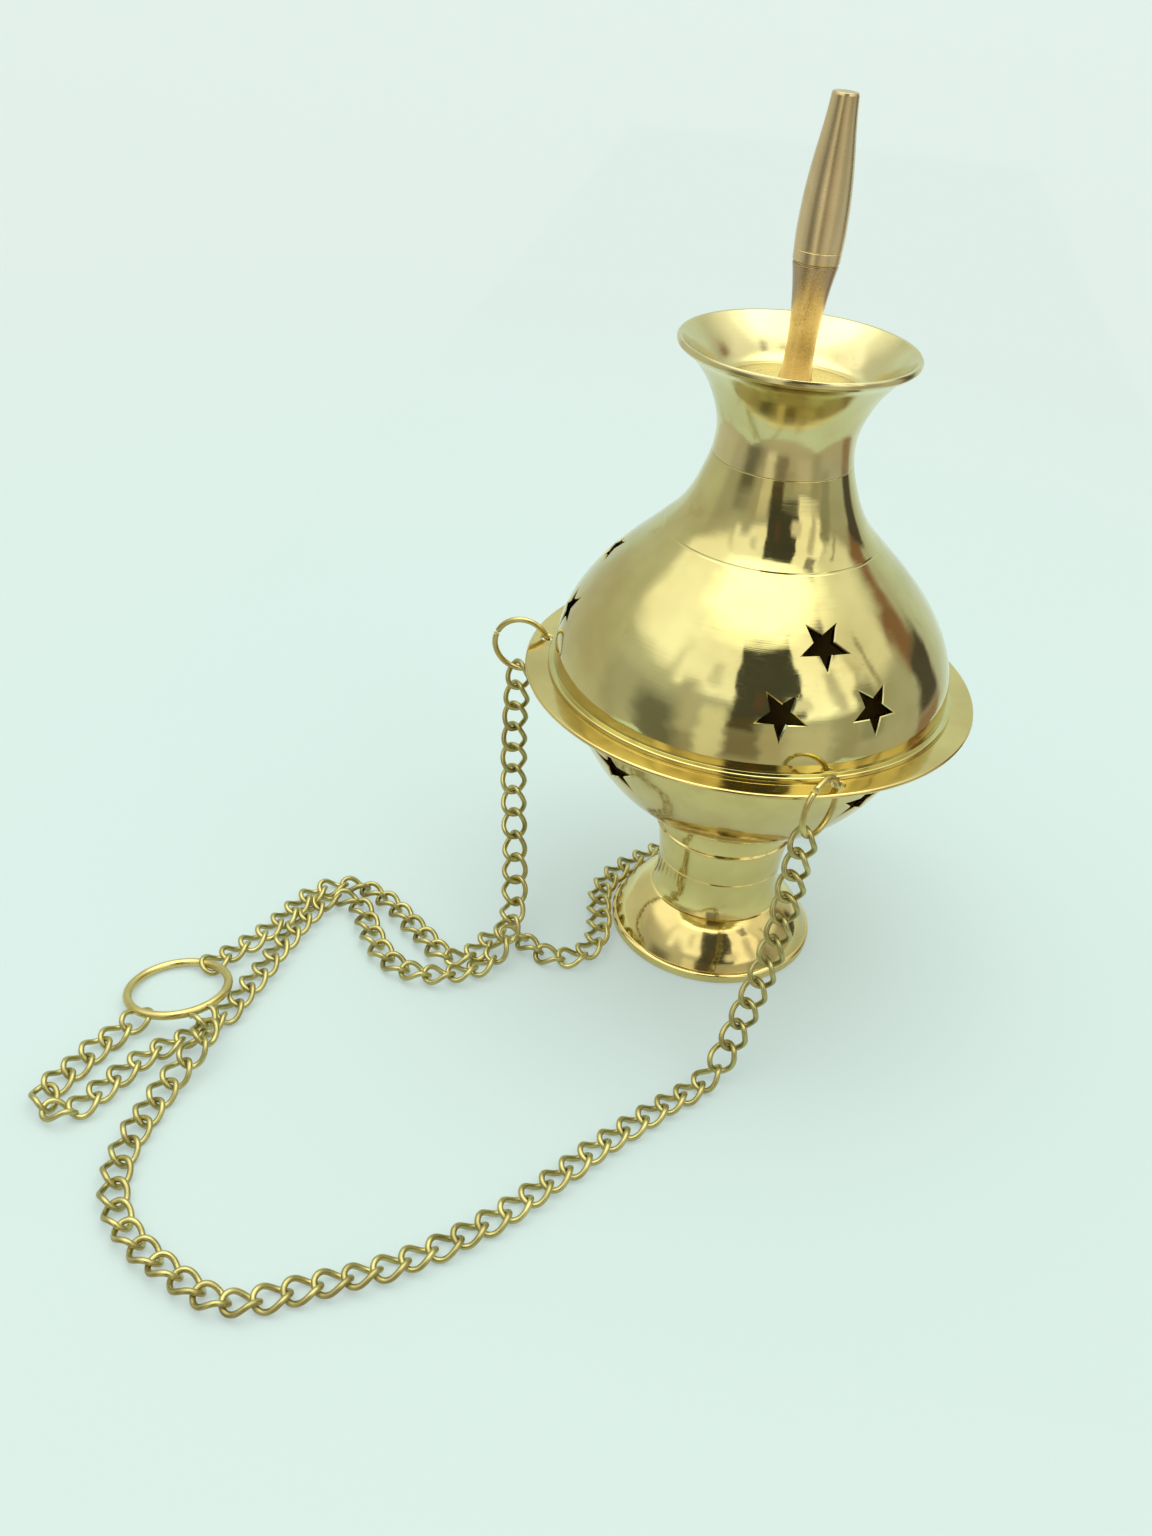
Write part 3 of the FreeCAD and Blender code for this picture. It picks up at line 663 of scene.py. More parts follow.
# ------------------------------------------------------------------ chains
# The route's points are part.py's, in metres; the first and last reach to the rings.
ROUTES = {
    "chain_left": [
        (-0.0419, 0.0020, 0.0476), (-0.0421, 0.0018, 0.0408), (-0.0418, 0.0013, 0.0328), (-0.0412, 0.0000, 0.0244),
        (-0.0399, -0.0032, 0.0168), (-0.0384, -0.0082, 0.0110), (-0.0371, -0.0138, 0.0066),
        (-0.0369, -0.0198, 0.0058), (-0.0382, -0.0250, 0.0019), (-0.0427, -0.0300, 0.0015),
        (-0.0482, -0.0325, 0.0015), (-0.0542, -0.0322, 0.0015), (-0.0596, -0.0282, 0.0015),
        (-0.0633, -0.0225, 0.0015), (-0.0662, -0.0167, 0.0015), (-0.0700, -0.0141, 0.0015),
        (-0.0739, -0.0157, 0.0015), (-0.0758, -0.0218, 0.0015), (-0.0774, -0.0300, 0.0015),
        (-0.0781, -0.0376, 0.0015), (-0.0796, -0.0449, 0.0015), (-0.0804, -0.0514, 0.0015),
        (-0.0836, -0.0582, 0.0015), (-0.0879, -0.0624, 0.0015), (-0.0912, -0.0682, 0.0015),
        (-0.0936, -0.0742, 0.0015), (-0.0951, -0.0790, 0.0015), (-0.0976, -0.0804, 0.0015),
        (-0.1004, -0.0796, 0.0015), (-0.1019, -0.0770, 0.0015), (-0.1006, -0.0726, 0.0015),
        (-0.0990, -0.0682, 0.0015), (-0.0980, -0.0636, 0.0015), (-0.0944, -0.0576, 0.0024)],
    "chain_back": [
        (0.0227, 0.0350, 0.0476), (0.0223, 0.0347, 0.0408), (0.0219, 0.0349, 0.0328), (0.0212, 0.0353, 0.0240),
        (0.0198, 0.0358, 0.0160), (0.0176, 0.0366, 0.0086), (0.0144, 0.0370, 0.0030), (0.0096, 0.0370, 0.0015),
        (0.0036, 0.0350, 0.0015), (-0.0024, 0.0306, 0.0015), (-0.0080, 0.0248, 0.0015), (-0.0133, 0.0180, 0.0015),
        (-0.0185, 0.0120, 0.0015), (-0.0219, 0.0057, 0.0015), (-0.0225, -0.0008, 0.0015),
        (-0.0212, -0.0068, 0.0015), (-0.0205, -0.0132, 0.0015), (-0.0221, -0.0188, 0.0015),
        (-0.0267, -0.0215, 0.0015), (-0.0320, -0.0199, 0.0015), (-0.0359, -0.0166, 0.0015),
        (-0.0396, -0.0174, 0.0015), (-0.0413, -0.0220, 0.0015), (-0.0438, -0.0260, 0.0015),
        (-0.0476, -0.0268, 0.0015), (-0.0510, -0.0232, 0.0015), (-0.0550, -0.0198, 0.0015),
        (-0.0601, -0.0147, 0.0015), (-0.0653, -0.0111, 0.0015), (-0.0706, -0.0098, 0.0015),
        (-0.0758, -0.0127, 0.0015), (-0.0783, -0.0185, 0.0015), (-0.0801, -0.0248, 0.0015),
        (-0.0825, -0.0306, 0.0015), (-0.0847, -0.0349, 0.0015), (-0.0874, -0.0388, 0.0016)],
    "chain_front": [
        (0.0129, -0.0383, 0.0476), (0.0124, -0.0385, 0.0408), (0.0120, -0.0388, 0.0332), (0.0113, -0.0393, 0.0260),
        (0.0101, -0.0402, 0.0200), (0.0086, -0.0414, 0.0138), (0.0071, -0.0428, 0.0076), (0.0050, -0.0454, 0.0024),
        (0.0014, -0.0502, 0.0015), (-0.0046, -0.0572, 0.0015), (-0.0116, -0.0661, 0.0015),
        (-0.0180, -0.0757, 0.0015), (-0.0241, -0.0841, 0.0015), (-0.0317, -0.0922, 0.0015),
        (-0.0402, -0.0991, 0.0015), (-0.0498, -0.1041, 0.0015), (-0.0584, -0.1097, 0.0015),
        (-0.0678, -0.1062, 0.0015), (-0.0764, -0.1016, 0.0015), (-0.0823, -0.0952, 0.0015),
        (-0.0846, -0.0869, 0.0015), (-0.0844, -0.0790, 0.0015), (-0.0837, -0.0722, 0.0015),
        (-0.0826, -0.0670, 0.0026), (-0.0808, -0.0626, 0.0046), (-0.0811, -0.0592, 0.0048),
        (-0.0829, -0.0560, 0.0042)],
}
LINK_WIRE = 0.97
LINK_PITCH = 4.4
LINK_HALF_WIDTH = 2.06


def route_points(name):
    """Points read from the route's own NURBS curve."""
    cu = bpy.data.curves.new(name + "_route", "CURVE")
    cu.dimensions = "3D"
    sp = cu.splines.new("NURBS")
    pts = ROUTES[name]
    sp.points.add(len(pts) - 1)
    for i, p in enumerate(pts):
        sp.points[i].co = (p[0], p[1], p[2], 1.0)
    sp.order_u = 3
    sp.use_endpoint_u = True
    sp.resolution_u = 16
    ob = bpy.data.objects.new(name + "_route", cu)
    bpy.context.scene.collection.objects.link(ob)
    bpy.context.view_layer.update()
    me = bpy.data.meshes.new_from_object(ob.evaluated_get(bpy.context.evaluated_depsgraph_get()))
    out = [tuple(v.co) for v in me.vertices]
    bpy.data.objects.remove(ob)
    bpy.data.meshes.remove(me)
    if math.dist(out[0], pts[0]) > math.dist(out[-1], pts[0]):
        out.reverse()
    return out


def link_line(half, width, twist, n=44):
    """Centre line of one open curb link, in mm: x along the chain, twisted about x from end to end."""
    out = []
    for i in range(n):
        t = 2 * math.pi * i / n
        c, s = math.cos(t), math.sin(t)
        x = half * math.copysign(abs(c) ** (2 / 2.25), c)
        y = width * math.copysign(abs(s) ** (2 / 2.25), s)
        k = twist * math.sin(max(-1, min(1, x / half)) * math.pi / 2)
        out.append(Vector((x, y * math.cos(k), y * math.sin(k))))
    return out


def sweep(line, radius, verts, faces, sides=10, closed=True, squash=None):
    """A round wire along a line of points, appended to verts and faces."""
    n = len(line)
    tang = []
    for i in range(n):
        a, b = line[(i - 1) % n], line[(i + 1) % n]
        if not closed:
            a, b = line[max(0, i - 1)], line[min(n - 1, i + 1)]
        tang.append((b - a).normalized())
    nrm = tang[0].orthogonal().normalized()
    frames = []
    for i in range(n):
        if i:
            ax = tang[i - 1].cross(tang[i])
            if ax.length > 1e-9:
                nrm = Matrix.Rotation(tang[i - 1].angle(tang[i]), 3, ax) @ nrm
        nrm = (nrm - tang[i] * nrm.dot(tang[i])).normalized()
        frames.append((nrm.copy(), tang[i].cross(nrm)))
    twist = 0.0
    if closed:
        ax = tang[-1].cross(tang[0])
        e = nrm.copy()
        if ax.length > 1e-9:
            e = Matrix.Rotation(tang[-1].angle(tang[0]), 3, ax) @ e
        f0, g0 = frames[0]
        twist = math.atan2(e.dot(g0), e.dot(f0))
    base = len(verts)
    for i in range(n):
        f, g = frames[i]
        w = -twist * i / n
        for k in range(sides):
            a = 2 * math.pi * k / sides + w
            verts.append(line[i] + (f * math.cos(a) + g * math.sin(a)) * radius)
    for i in range(n if closed else n - 1):
        j = (i + 1) % n
        for k in range(sides):
            m = (k + 1) % sides
            faces.append((base + i * sides + k, base + i * sides + m, base + j * sides + m, base + j * sides + k))
    if not closed:
        for i, flip in ((0, True), (n - 1, False)):
            ring = [base + i * sides + k for k in range(sides)]
            faces.append(tuple(ring[::-1]) if flip else tuple(ring))
    return base


def build_chain(name, lean, seed, hang, twist=-35.0):
    rng = random.Random(seed)
    path = [Vector(p) * 1000.0 for p in route_points(name)]
    cum = [0.0]
    for a, b in zip(path, path[1:]):
        cum.append(cum[-1] + (b - a).length)
    total = cum[-1]

    def at(s):
        s = max(0.0, min(total, s))
        i = min(len(cum) - 2, max(0, int(np.searchsorted(cum, s)) - 1))
        w = (s - cum[i]) / (cum[i + 1] - cum[i])
        return path[i].lerp(path[i + 1], w)

    count = int(round(total / LINK_PITCH))
    pitch = total / count
    half = pitch / 2 + LINK_WIRE / 2 + 0.01
    line = link_line(half, LINK_HALF_WIDTH, math.radians(twist))
    centres = [pitch * i for i in range(count + 1)]
    tang = [(at(s + pitch * 0.5) - at(s - pitch * 0.5)).normalized() for s in centres]
    up = [None] * len(centres)
    last = Vector((0, 0, 1))
    order = range(len(centres) - 1, -1, -1)
    prev_t = tang[-1]
    for i in order:
        t = tang[i]
        ax = prev_t.cross(t)
        if ax.length > 1e-9:
            last = Matrix.Rotation(prev_t.angle(t), 3, ax) @ last
        if abs(t.z) < 0.45:
            flat = (Vector((0, 0, 1)) - t * t.z).normalized()
            last = flat
        last = (last - t * last.dot(t)).normalized()
        up[i] = last.copy()
        prev_t = t
    verts, faces = [], []
    drift = rng.uniform(0, 6.28)
    for i, s in enumerate(centres):
        t, u = tang[i], up[i]
        side = u.cross(t)
        steep = min(1.0, max(0.0, (abs(t.z) - 0.35) / 0.4))
        roll = lean + (7.0 + 9.0 * steep) * math.sin(drift + i * 0.9) * 0.6 + rng.uniform(-5, 5) * (1 + steep)
        roll = math.radians(roll + hang * steep)
        yv = side * math.cos(roll) + u * math.sin(roll)
        zv = u * math.cos(roll) - side * math.sin(roll)
        c = at(s)
        stretch = 1.0 + rng.uniform(-0.03, 0.03)
        pts = [c + t * p.x + yv * (p.y * stretch) + zv * p.z for p in line]
        low = min(p.z for p in pts) - LINK_WIRE / 2
        if low < 0.02:
            pts = [p + Vector((0, 0, 0.02 - low)) for p in pts]
        elif steep == 0 and c.z < 1.9:
            pts = [p - Vector((0, 0, low - 0.02)) for p in pts]
        sweep(pts, LINK_WIRE / 2, verts, faces, 10)
    me = bpy.data.meshes.new(name + "_links")
    me.from_pydata([tuple(v * MM) for v in verts], [], faces)
    me.polygons.foreach_set("use_smooth", [True] * len(me.polygons))
    me.materials.append(M_CHAIN)
    me.update()
    ob = bpy.data.objects.new(name + "_links", me)
    bpy.context.scene.collection.objects.link(ob)
    return ob, [tuple(p * MM) for p in path], total


CHAINS = {}
for nm, lean, seed, hang, ring_body, lo, hi in (
        ("chain_left", 12.0, 3, 0.0, "left_ring", (-0.0423, 0.0014, 0.036), (-0.0418, 0.0020, 0.0485)),
        ("chain_back", 12.0, 5, 0.0, "back_ring", (0.0220, 0.0349, 0.036), (0.0227, 0.0350, 0.0485)),
        ("chain_front", 12.0, 9, -30.0, "front_ring", (0.0127, -0.0382, 0.036), (0.0145, -0.0371, 0.0485))):
    ob, path, total = build_chain(nm, lean, seed, hang)
    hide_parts(nm)
    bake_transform(ob)
    CHAINS[nm] = total
    print("CHAIN", nm, "length mm", round(total, 1))


# ------------------------------------------------------------------ rings
def ring_wire(name, centre, xdir, zdir, major, minor, start=0.0, sweep_deg=360.0, steps=96, sides=16):
    """A wire ring in mm; a gap is left when it sweeps less than the full turn."""
    c, xd, zd = Vector(centre), Vector(xdir).normalized(), Vector(zdir).normalized()
    yd = zd.cross(xd)
    closed = sweep_deg >= 359.9
    line = []
    n = steps if closed else steps + 1
    for i in range(n):
        a = math.radians(start + sweep_deg * i / steps)
        line.append(c + (xd * math.cos(a) + yd * math.sin(a)) * major)
    verts, faces = [], []
    sweep(line, minor, verts, faces, sides, closed)
    me = bpy.data.meshes.new(name)
    me.from_pydata([tuple(v * MM) for v in verts], [], faces)
    me.polygons.foreach_set("use_smooth", [len(p.vertices) == 4 for p in me.polygons])
    me.materials.append(M_RING)
    me.update()
    ob = bpy.data.objects.new(name, me)
    bpy.context.scene.collection.objects.link(ob)
    return ob


def jump(name, node, body, az, yaw, gap):
    a, y, dip = math.radians(az), math.radians(yaw), math.radians(21.0)
    hole = Vector((37.1 * math.cos(a), 37.1 * math.sin(a), 55.88))
    d = Vector((math.cos(y), math.sin(y), 0))
    c = hole + (d * math.cos(dip) - Vector((0, 0, 1)) * math.sin(dip)) * 5.0
    g = math.radians(gap)
    x = d * math.cos(g) + Vector((0, 0, 1)) * math.sin(g)
    n = Vector((math.sin(y), -math.cos(y), 0))
    ob = ring_wire(name, c, x, n, 5.0, 0.53, 0.0, 353.0, 72, 14)
    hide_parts(node)
    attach(ob, body)


jump("left_ring_wire", "jump_ring_left", "left_ring", 177.0, 180.0, 25.0)
jump("front_ring_wire", "jump_ring_front", "front_ring", -63.0, -120.0, 60.0)
jump("back_ring_wire", "jump_ring_back", "back_ring", 57.0, 57.0, 140.0)
tilt = math.radians(4.0)
hr = ring_wire("hanging_ring_wire", (-90.7, -48.3, 2.4), (0.99076, 0, 0.13560), (-0.13453, 0.12545, 0.98294), 8.8, 0.78)
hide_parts("hanging_ring")
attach(hr, "hang_ring")

# ------------------------------------------------------------------ turned pieces
foot = Lathe([
    (17.7, 0.0), (19.1, 0.0), (19.45, 0.5), (19.45, 1.7), (18.75, 2.15), (12.75, 9.6), (12.35, 9.75), (11.75, 17.0),
    (11.45, 17.15), (11.8, 17.35), (12.55, 23.7), (12.85, 23.95), (12.85, 24.25), (12.6, 24.5), (13.3, 28.8),
    (2.1, 28.8), (2.1, 27.2), (10.6, 27.2), (10.45, 14.0)], {
    3: [(19.2, 1.95)], 4: [(17.9, 3.9), (16.6, 5.8), (14.8, 7.9)], 6: [(11.85, 11.5), (11.6, 14.2)],
    9: [(12.1, 20.2)], 11: [(13.0, 24.1)], 13: [(12.85, 26.6)], 18: [(11.2, 9.8), (13.6, 6.3), (16.4, 2.4)]},
    rounds={0: 0.2, 1: 0.3, 2: 0.3, 3: 0.25, 4: 0.1, 5: 0.12, 6: 0.1, 7: 0.08, 9: 0.08, 10: 0.08, 13: 0.08, 14: 0.12},
    step=0.6, steps={15: 3.0, 17: 2.0, 18: 1.5}, cols=200,
    material=lambda t: 1 if t >= 15 else 0).finish("foot_turned", [M_FOOT, M_INNER])
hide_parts("foot")
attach(foot, "vessel")

bowl_l = Lathe([
    (2.1, 28.8), (13.3, 28.8), (34.45, 55.0), (35.2, 55.48), (39.6, 55.48), (40.0, 55.88), (39.6, 56.28),
    (33.75, 56.28), (33.3, 55.8), (13.2, 31.15), (8.0, 30.4), (2.1, 30.4)], {
    1: [(14.9, 29.35), (16.9, 30.5), (19.2, 32.1), (21.2, 33.75), (22.95, 35.4), (25.0, 37.75), (26.7, 40.1),
        (28.25, 42.6), (29.6, 44.95), (30.85, 47.3), (31.95, 49.6), (32.95, 51.8), (33.85, 53.8)],
    2: [(34.75, 55.34)], 4: [(39.88, 55.6)], 5: [(39.88, 56.16)],
    8: [(32.55, 53.6), (31.75, 51.8), (30.75, 49.6), (29.6, 47.25), (28.3, 44.9), (26.9, 42.55), (25.3, 40.1),
        (23.5, 37.8), (21.4, 35.55), (19.4, 33.9), (16.6, 32.3)], 9: [(10.6, 30.55)]},
    rounds={1: 0.12, 7: 0.3}, step=0.7, steps={0: 3.0, 4: 0.12, 5: 0.12, 2: 0.2, 8: 0.9}, cols=240,
    material=lambda t: 1 if t >= 7 or t == 0 else 0)
for k in range(4):
    cut_star(bowl_l, 1, 8, -42.0 + 90.0 * k, 45.5, 30.1, 65.0, 4.9, True)


def flange_hole(l, az):
    """A drilled chain hole: its rim is broken on both faces."""
    def s_of(side, r):
        js = l.rows(side, side)
        js = js + [(js[-1] + 1) % len(l.pts)]
        rr = [l.pts[j][0] for j in js]
        ss = [l.s[j] for j in js]
        if rr[0] > rr[-1]:
            rr, ss = rr[::-1], ss[::-1]
        return float(np.interp(r, rr, ss))
    cx, cy = 37.1 * math.cos(math.radians(az)), 37.1 * math.sin(math.radians(az))
    loops = []
    for side, z, rad in ((6, 56.28, 1.32), (None, 56.16, 1.2), (None, 55.6, 1.2), (3, 55.48, 1.32)):
        pts = [(cx + rad * math.cos(2 * math.pi * k / 32), cy + rad * math.sin(2 * math.pi * k / 32)) for k in range(32)]
        if side is None:
            loops.append(l.add_loop([(x, y, z) for x, y in pts]))
        else:
            loops.append(l.patch([(math.atan2(y, x), s_of(side, math.hypot(x, y))) for x, y in pts]))
    for a, b in zip(loops, loops[1:]):
        l.strip(a, b)


for az in (-63.0, 57.0, 177.0):
    flange_hole(bowl_l, az)
bowl = bowl_l.finish("bowl_spun", [M_BOWL, M_INNER])
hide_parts("bowl")
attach(bowl, "vessel")

lid_l = Lathe([
    (32.6, 56.28), (35.96, 56.28), (35.96, 56.78), (35.7, 57.03), (34.95, 57.1), (18.5, 84.0), (18.25, 84.15),
    (18.15, 84.4), (11.76, 97.2), (10.7, 97.2), (10.7, 95.0), (33.9, 58.4), (31.7, 57.0), (31.7, 54.78), (32.3, 54.78)], {
    2: [(35.88, 56.95)],
    4: [(34.92, 59.0), (34.75, 61.0), (34.35, 63.0), (33.7, 65.0), (32.85, 67.0), (31.85, 68.9), (30.7, 70.7),
        (29.35, 72.6), (27.8, 74.5), (26.1, 76.4), (24.2, 78.4), (22.15, 80.4), (20.2, 82.3)],
    7: [(16.7, 86.0), (15.35, 87.95), (14.3, 89.9), (13.45, 91.9), (12.8, 93.7), (12.2, 95.5)],
    10: [(11.1, 93.8), (11.75, 92.0), (12.6, 90.0), (13.6, 88.0), (14.95, 86.0), (16.7, 84.0), (18.7, 82.0),
         (20.75, 80.0), (22.75, 78.0), (24.6, 76.1), (26.3, 74.2), (27.85, 72.2), (29.25, 70.2), (30.5, 68.2),
         (31.7, 66.0), (32.65, 63.8), (33.35, 61.5), (33.75, 59.5)]},
    rounds={1: 0.12, 4: 0.08, 5: 0.06, 7: 0.06, 8: 0.14}, step=0.65, steps={2: 0.1, 10: 1.0, 0: 0.8}, cols=264,
    material=lambda t: 1 if t >= 10 else 0)
for k in range(3):
    c = -65.0 + 120.0 * k
    cut_star(lid_l, 4, 10, c, 75.8, 26.65, 133.0, 4.2, False)
    cut_star(lid_l, 4, 10, c - 14.1, 66.7, 33.0, 114.5, 4.2, False)
    cut_star(lid_l, 4, 10, c + 14.1, 66.7, 33.0, 114.5, 4.2, False)
lid = lid_l.finish("lid_spun", [M_LID, M_INNER])
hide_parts("lid_dome")
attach(lid, "lid")

cup = Lathe([
    (9.7, 95.2), (10.65, 95.2), (10.65, 97.2), (11.76, 97.2), (18.95, 114.25), (19.5, 114.8), (19.25, 115.7),
    (18.8, 115.6), (11.6, 108.8), (1.6, 108.8), (1.6, 107.4), (10.9, 107.4), (9.9, 103.0)], {
    3: [(11.52, 99.0), (11.44, 100.6), (11.6, 102.4), (12.0, 104.2), (12.65, 106.1), (13.5, 108.0), (14.65, 110.0),
        (16.0, 111.75), (17.5, 113.3)], 5: [(19.52, 115.35)],
    7: [(17.3, 114.2), (15.7, 112.55), (14.35, 110.9), (13.2, 109.5), (12.4, 108.95)],
    11: [(10.3, 105.2)], 12: [(9.75, 100.5), (9.68, 98.0)]},
    rounds={3: 0.14, 4: 0.1, 5: 0.12, 6: 0.12, 7: 0.1, 9: 0.1, 11: 0.3}, step=0.5, steps={11: 1.5, 12: 1.5, 10: 1.5},
    cols=200, material=lambda t: 1 if t >= 10 or t < 2 else 2 if t == 8 else 0).finish(
        "mouth_cup_turned", [M_CUP, M_INNER, M_CUP_FLOOR])
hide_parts("mouth_cup")
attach(cup, "lid")



def lean(ob):
    """The handle leans 1.1 degrees to the right about its foot."""
    foot_at = Vector((0, 0, 0.1088))
    ob.data.transform(Matrix.Translation(foot_at) @ Matrix.Rotation(math.radians(1.1), 4, "Y")
                      @ Matrix.Translation(-foot_at))
    ob.data.update()


hb = Lathe([
    (1.75, 108.8), (2.9, 108.8), (2.9, 109.3), (3.6, 128.2), (1.72, 128.2), (1.72, 123.0), (0.0, 123.0)], {
    2: [(2.66, 110.4), (2.42, 112.3), (2.3, 114.4), (2.33, 117.0), (2.5, 120.2), (2.85, 123.6), (3.3, 126.6)]},
    rounds={1: 0.12, 2: 0.15, 3: 0.12}, step=0.4, cols=96, closed=False).finish("handle_base_turned", [M_HANDLE_BASE_SHADED])
lean(hb)
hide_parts("handle_base")
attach(hb, "lid")

hg = Lathe([
    (0.0, 123.25), (1.7, 123.25), (1.7, 128.2), (3.4, 128.2), (3.4, 128.45), (3.66, 128.6), (3.72, 130.25),
    (3.6, 130.35), (3.74, 130.5), (2.05, 152.3), (1.9, 152.65), (0.0, 152.9)], {
    8: [(3.8, 132.4), (3.78, 134.5), (3.68, 137.2), (3.42, 140.6), (3.0, 144.2), (2.66, 146.6), (2.36, 149.0),
        (2.15, 151.0)]},
    rounds={3: 0.08, 5: 0.1, 6: 0.05, 8: 0.05, 9: 0.15, 10: 0.1}, step=0.4, cols=96,
    closed=False).finish("handle_grip_turned", [M_HANDLE])
lean(hg)
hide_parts("handle_grip")
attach(hg, "lid")

# ------------------------------------------------------------------ inner fastenings keep their CAD shape
steel = Nodes("fastener_steel")
tcs = steel.new("ShaderNodeTexCoord")
ns = steel.noise(tcs.outputs["Object"], 900.0, 4.0, 0.6)
steel.link(steel.mix(ns, rgb(150, 148, 142), rgb(112, 108, 102)), steel.bsdf.inputs["Base Color"])
steel.link(steel.math("MULTIPLY_ADD", ns, 0.2, 0.28), steel.bsdf.inputs["Roughness"])
steel.link(steel.bump(ns, 0.3, 0.00003), steel.bsdf.inputs["Normal"])
steel.bsdf.inputs["Metallic"].default_value = 1.0
for node in ("foot_screw", "foot_washer", "foot_nut", "lid_stud", "lid_washer", "lid_nut"):
    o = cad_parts[node]
    o.data.materials.clear()
    o.data.materials.append(steel.mat)

# ------------------------------------------------------------------ floor
fl = Nodes("floor_paper")
tcf = fl.new("ShaderNodeTexCoord")
nf = fl.noise(tcf.outputs["Object"], 3.0, 3.0, 0.5)
# painted light: the floor's colour is lighter near the object and turns slightly darker and greyer farther out, a
# painted pool of light
falloff_distance = fl.new("ShaderNodeVectorMath", operation="DISTANCE")
fl.link(tcf.outputs["Object"], falloff_distance.inputs[0])
falloff_distance.inputs[1].default_value = (-0.03, 0.02, 0.0)
painted_falloff = fl.ramp(fl.math("MULTIPLY", falloff_distance.outputs["Value"], 2.0), [(0.22, (0, 0, 0, 1)), (0.95, (1, 1, 1, 1))])
near = fl.mix(nf, FLOOR_A, FLOOR_B)
fl.link(fl.mix(painted_falloff, near, FLOOR_FAR_SHADED), fl.bsdf.inputs["Base Color"])
fl.link(fl.bump(fl.noise(tcf.outputs["Object"], 900.0, 3.0, 0.6), 0.05, 0.0001), fl.bsdf.inputs["Normal"])
# painted light: the floor glows a little, which lifts it and weakens the shadows cast on it
fl.bsdf.inputs["Emission Color"].default_value = (0.88, 1.0, 0.975, 1.0)
fl.bsdf.inputs["Emission Strength"].default_value = 0.34
fl.bsdf.inputs["Roughness"].default_value = 0.6
fl.bsdf.inputs["Specular IOR Level"].default_value = 0.15


def sheet(name, x0, x1, y0, y1, z):
    me = bpy.data.meshes.new(name)
    me.from_pydata([(x0, y0, z), (x1, y0, z), (x1, y1, z), (x0, y1, z)], [], [(0, 1, 2, 3)])
    me.materials.append(fl.mat)
    ob = bpy.data.objects.new(name, me)
    bpy.context.scene.collection.objects.link(ob)
    return ob


# the table runs on for the eye; the brass mirrors only the near part of it, and beyond its edge the dim room
floor = sheet("floor", -7, 7, -7, 7, 0)
floor.visible_glossy = False
table = sheet("table_in_reflections", -0.14, 0.14, -0.10, 0.9, 0.00002)
table.visible_camera = table.visible_diffuse = table.visible_shadow = table.visible_transmission = False


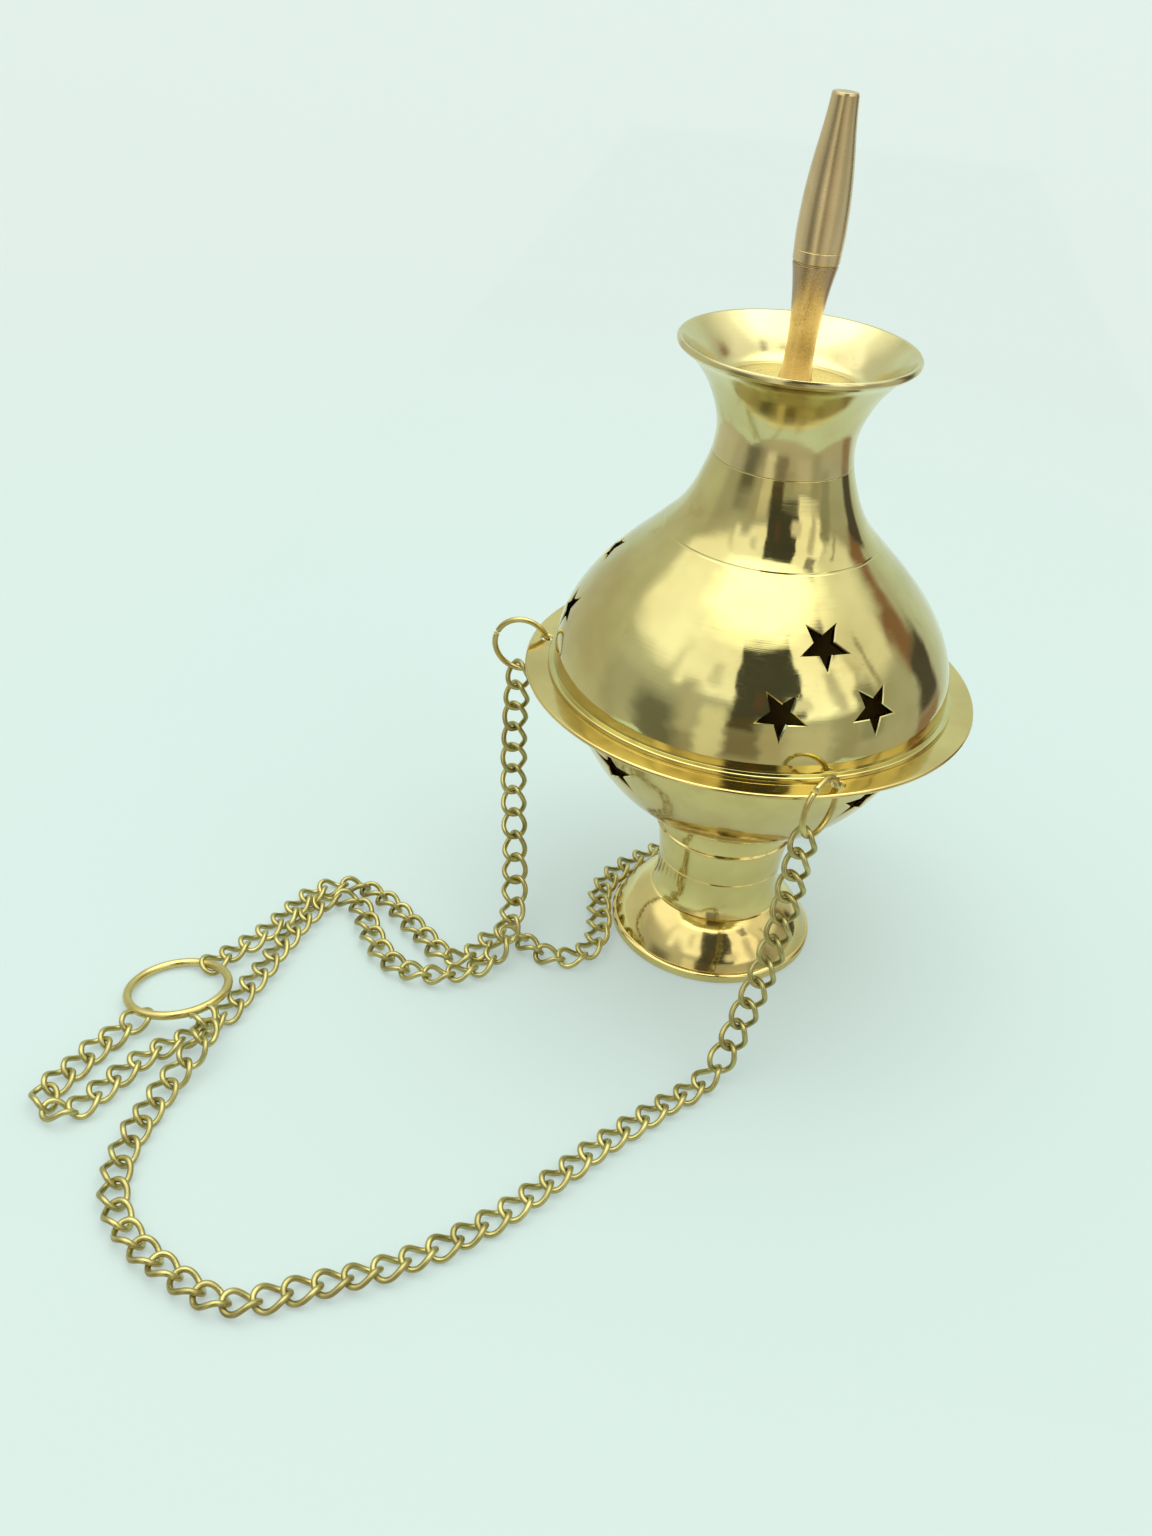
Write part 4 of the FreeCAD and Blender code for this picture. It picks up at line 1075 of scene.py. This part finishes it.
# ------------------------------------------------------------------ light: one soft surround, brightest overhead
class Surround:
    def __init__(self, name):
        self.world = bpy.data.worlds.new(name)
        self.world.use_nodes = True
        self.t = self.world.node_tree
        self.bg = self.t.nodes["Background"]
        tc = self.t.nodes.new("ShaderNodeTexCoord")
        sep = self.t.nodes.new("ShaderNodeSeparateXYZ")
        self.t.links.new(tc.outputs["Generated"], sep.inputs[0])
        x, y, z = sep.outputs
        no = self.t.nodes.new("ShaderNodeTexNoise")
        no.inputs["Scale"].default_value = 5.0
        no.inputs["Detail"].default_value = 3.0
        self.t.links.new(tc.outputs["Generated"], no.inputs["Vector"])
        wob = self.op("MULTIPLY_ADD", no.outputs[0], 9.0, -4.5)
        az = self.op("DEGREES", self.op("ARCTAN2", x, self.op("MULTIPLY", y, -1.0)))
        self.az = self.op("ADD", az, wob)
        self.el = self.op("DEGREES", self.op("ARCSINE", z))
        self.col = None

    def op(self, kind, a, b=None, c=None):
        n = self.t.nodes.new("ShaderNodeMath")
        n.operation = kind
        for i, v in enumerate((a, b, c)):
            if isinstance(v, (int, float)):
                n.inputs[i].default_value = v
            elif v is not None:
                self.t.links.new(v, n.inputs[i])
        return n.outputs[0]

    def step(self, v, at, soft):
        n = self.t.nodes.new("ShaderNodeMapRange")
        n.interpolation_type = "SMOOTHSTEP"
        n.inputs["From Min"].default_value = at - soft
        n.inputs["From Max"].default_value = at + soft
        self.t.links.new(v, n.inputs["Value"])
        return n.outputs[0]

    def by_height(self, stops):
        """Radiance by elevation: (degrees, (r, g, b))."""
        n = self.t.nodes.new("ShaderNodeValToRGB")
        els = n.color_ramp.elements
        while len(els) > 1:
            els.remove(els[-1])
        k = 0.25                                  # ramps clamp at 1, so they hold a quarter of the value
        for i, (e, c) in enumerate(stops):
            p = (e + 90.0) / 180.0
            el = els[0] if i == 0 else els.new(p)
            el.position = p
            el.color = (c[0] * k, c[1] * k, c[2] * k, 1.0)
        self.t.links.new(self.op("MULTIPLY_ADD", self.el, 1 / 180.0, 0.5), n.inputs[0])
        m = self.t.nodes.new("ShaderNodeVectorMath")
        m.operation = "SCALE"
        m.inputs["Scale"].default_value = 1 / k
        self.t.links.new(n.outputs[0], m.inputs[0])
        self.col = m.outputs[0]

    def panel(self, az0, az1, el0, el1, col, soft=4.0, soft_el=None, strength=1.0, back=False):
        """A soft-edged panel in the surround: azimuth from the front, positive to the right, and elevation."""
        soft_el = soft_el or soft
        az = self.op("ABSOLUTE", self.az) if back else self.az
        f = self.op("MULTIPLY", self.step(az, az0, soft), self.op("SUBTRACT", 1.0, self.step(az, az1, soft)))
        g = self.op("MULTIPLY", self.step(self.el, el0, soft_el),
                    self.op("SUBTRACT", 1.0, self.step(self.el, el1, soft_el)))
        f = self.op("MULTIPLY", self.op("MULTIPLY", f, g), strength)
        n = self.t.nodes.new("ShaderNodeMix")
        n.data_type = "VECTOR"
        self.t.links.new(f, n.inputs[0])
        self.t.links.new(self.col, n.inputs[4])
        n.inputs[5].default_value = (col, col, col) if isinstance(col, (int, float)) else col
        self.col = n.outputs[1]

    def done(self, backdrop):
        lp = self.t.nodes.new("ShaderNodeLightPath")
        n = self.t.nodes.new("ShaderNodeMix")
        n.data_type = "VECTOR"
        self.t.links.new(lp.outputs["Is Camera Ray"], n.inputs[0])
        tint = self.t.nodes.new("ShaderNodeVectorMath")
        tint.operation = "MULTIPLY"
        tint.inputs[1].default_value = (0.99, 1.005, 0.98)
        self.t.links.new(self.col, tint.inputs[0])
        self.t.links.new(tint.outputs[0], n.inputs[4])
        n.inputs[5].default_value = backdrop
        self.t.links.new(n.outputs[1], self.bg.inputs[0])
        self.bg.inputs[1].default_value = 1.0
        bpy.context.scene.world = self.world


room = Surround("studio")
room.by_height([(-45, (0.58, 0.57, 0.50)), (-28, (0.54, 0.53, 0.47)), (-14, (0.54, 0.55, 0.54)), (0, (0.52, 0.54, 0.53)),
                (16, (0.52, 0.54, 0.53)), (26, (0.64, 0.66, 0.64)), (36, (0.86, 0.88, 0.84)), (48, (1.15, 1.17, 1.1)),
                (55, (1.8, 1.83, 1.75)), (62, (2.6, 2.65, 2.5))])
room.panel(138, 200, -40, 40, (0.72, 0.84, 0.82), 12, back=True)
room.panel(-142, -86, -36, 34, (0.66, 0.69, 0.65), 8)
room.panel(-104, -52, 33, 56, 1.42, 6)
room.panel(-47, -4, 26, 54, (1.36, 1.36, 1.36), 4)
room.panel(-40, -27, 20, 33, 0.60, 5)
room.panel(-24, -17, 34, 46, 0.95, 3)
room.panel(-37, -24, -22, 22, (0.58, 0.57, 0.52), 4, 6)
room.panel(-38, -24, -34, -8, (0.42, 0.41, 0.36), 4, 6)
room.panel(-60, -36, -36, 13, (0.14, 0.14, 0.12), 7, strength=0.85)
room.panel(-23, -9, -30, 20, (0.92, 0.90, 0.82), 3, 5)
room.panel(-8, 12, -26, 8, (0.28, 0.25, 0.21), 2.5, 6)
room.panel(12, 26, -26, 10, (0.56, 0.52, 0.44), 3, 5)
room.panel(26, 52, -22, 10, (0.66, 0.64, 0.58), 4, 6)
room.panel(52, 67, -30, 20, (0.44, 0.43, 0.38), 4)
room.panel(34, 72, 14, 55, 1.55, 3)
room.panel(76, 108, 22, 46, 1.08, 5)
room.panel(54, 62, 14, 40, 0.85, 3)
room.panel(55, 69, 43, 54, 0.40, 2)
room.panel(-8, 9, 6, 20, (0.12, 0.10, 0.07), 2, 3)
room.panel(-6, 36, 16, 56, (0.082, 0.085, 0.080), 1.6, 2.2)
room.panel(5, 12, 22, 36, (0.13, 0.09, 0.07), 2, 4)
room.panel(26, 40, 20, 31, 1.05, 2.5, 2.5)
room.panel(68, 82, -10, 26, (0.38, 0.39, 0.36), 3)
room.panel(86, 89, 6, 40, (0.52, 0.52, 0.48), 1.5)
room.panel(108, 126, 11, 29, (0.30, 0.17, 0.12), 4)
room.panel(112, 131, -13, 13, (0.10, 0.09, 0.09), 3)
room.panel(112, 134, -40, -13, (0.34, 0.24, 0.19), 4)
room.done((0.80, 0.88, 0.85))
bpy.context.scene.view_settings.view_transform = "Standard"
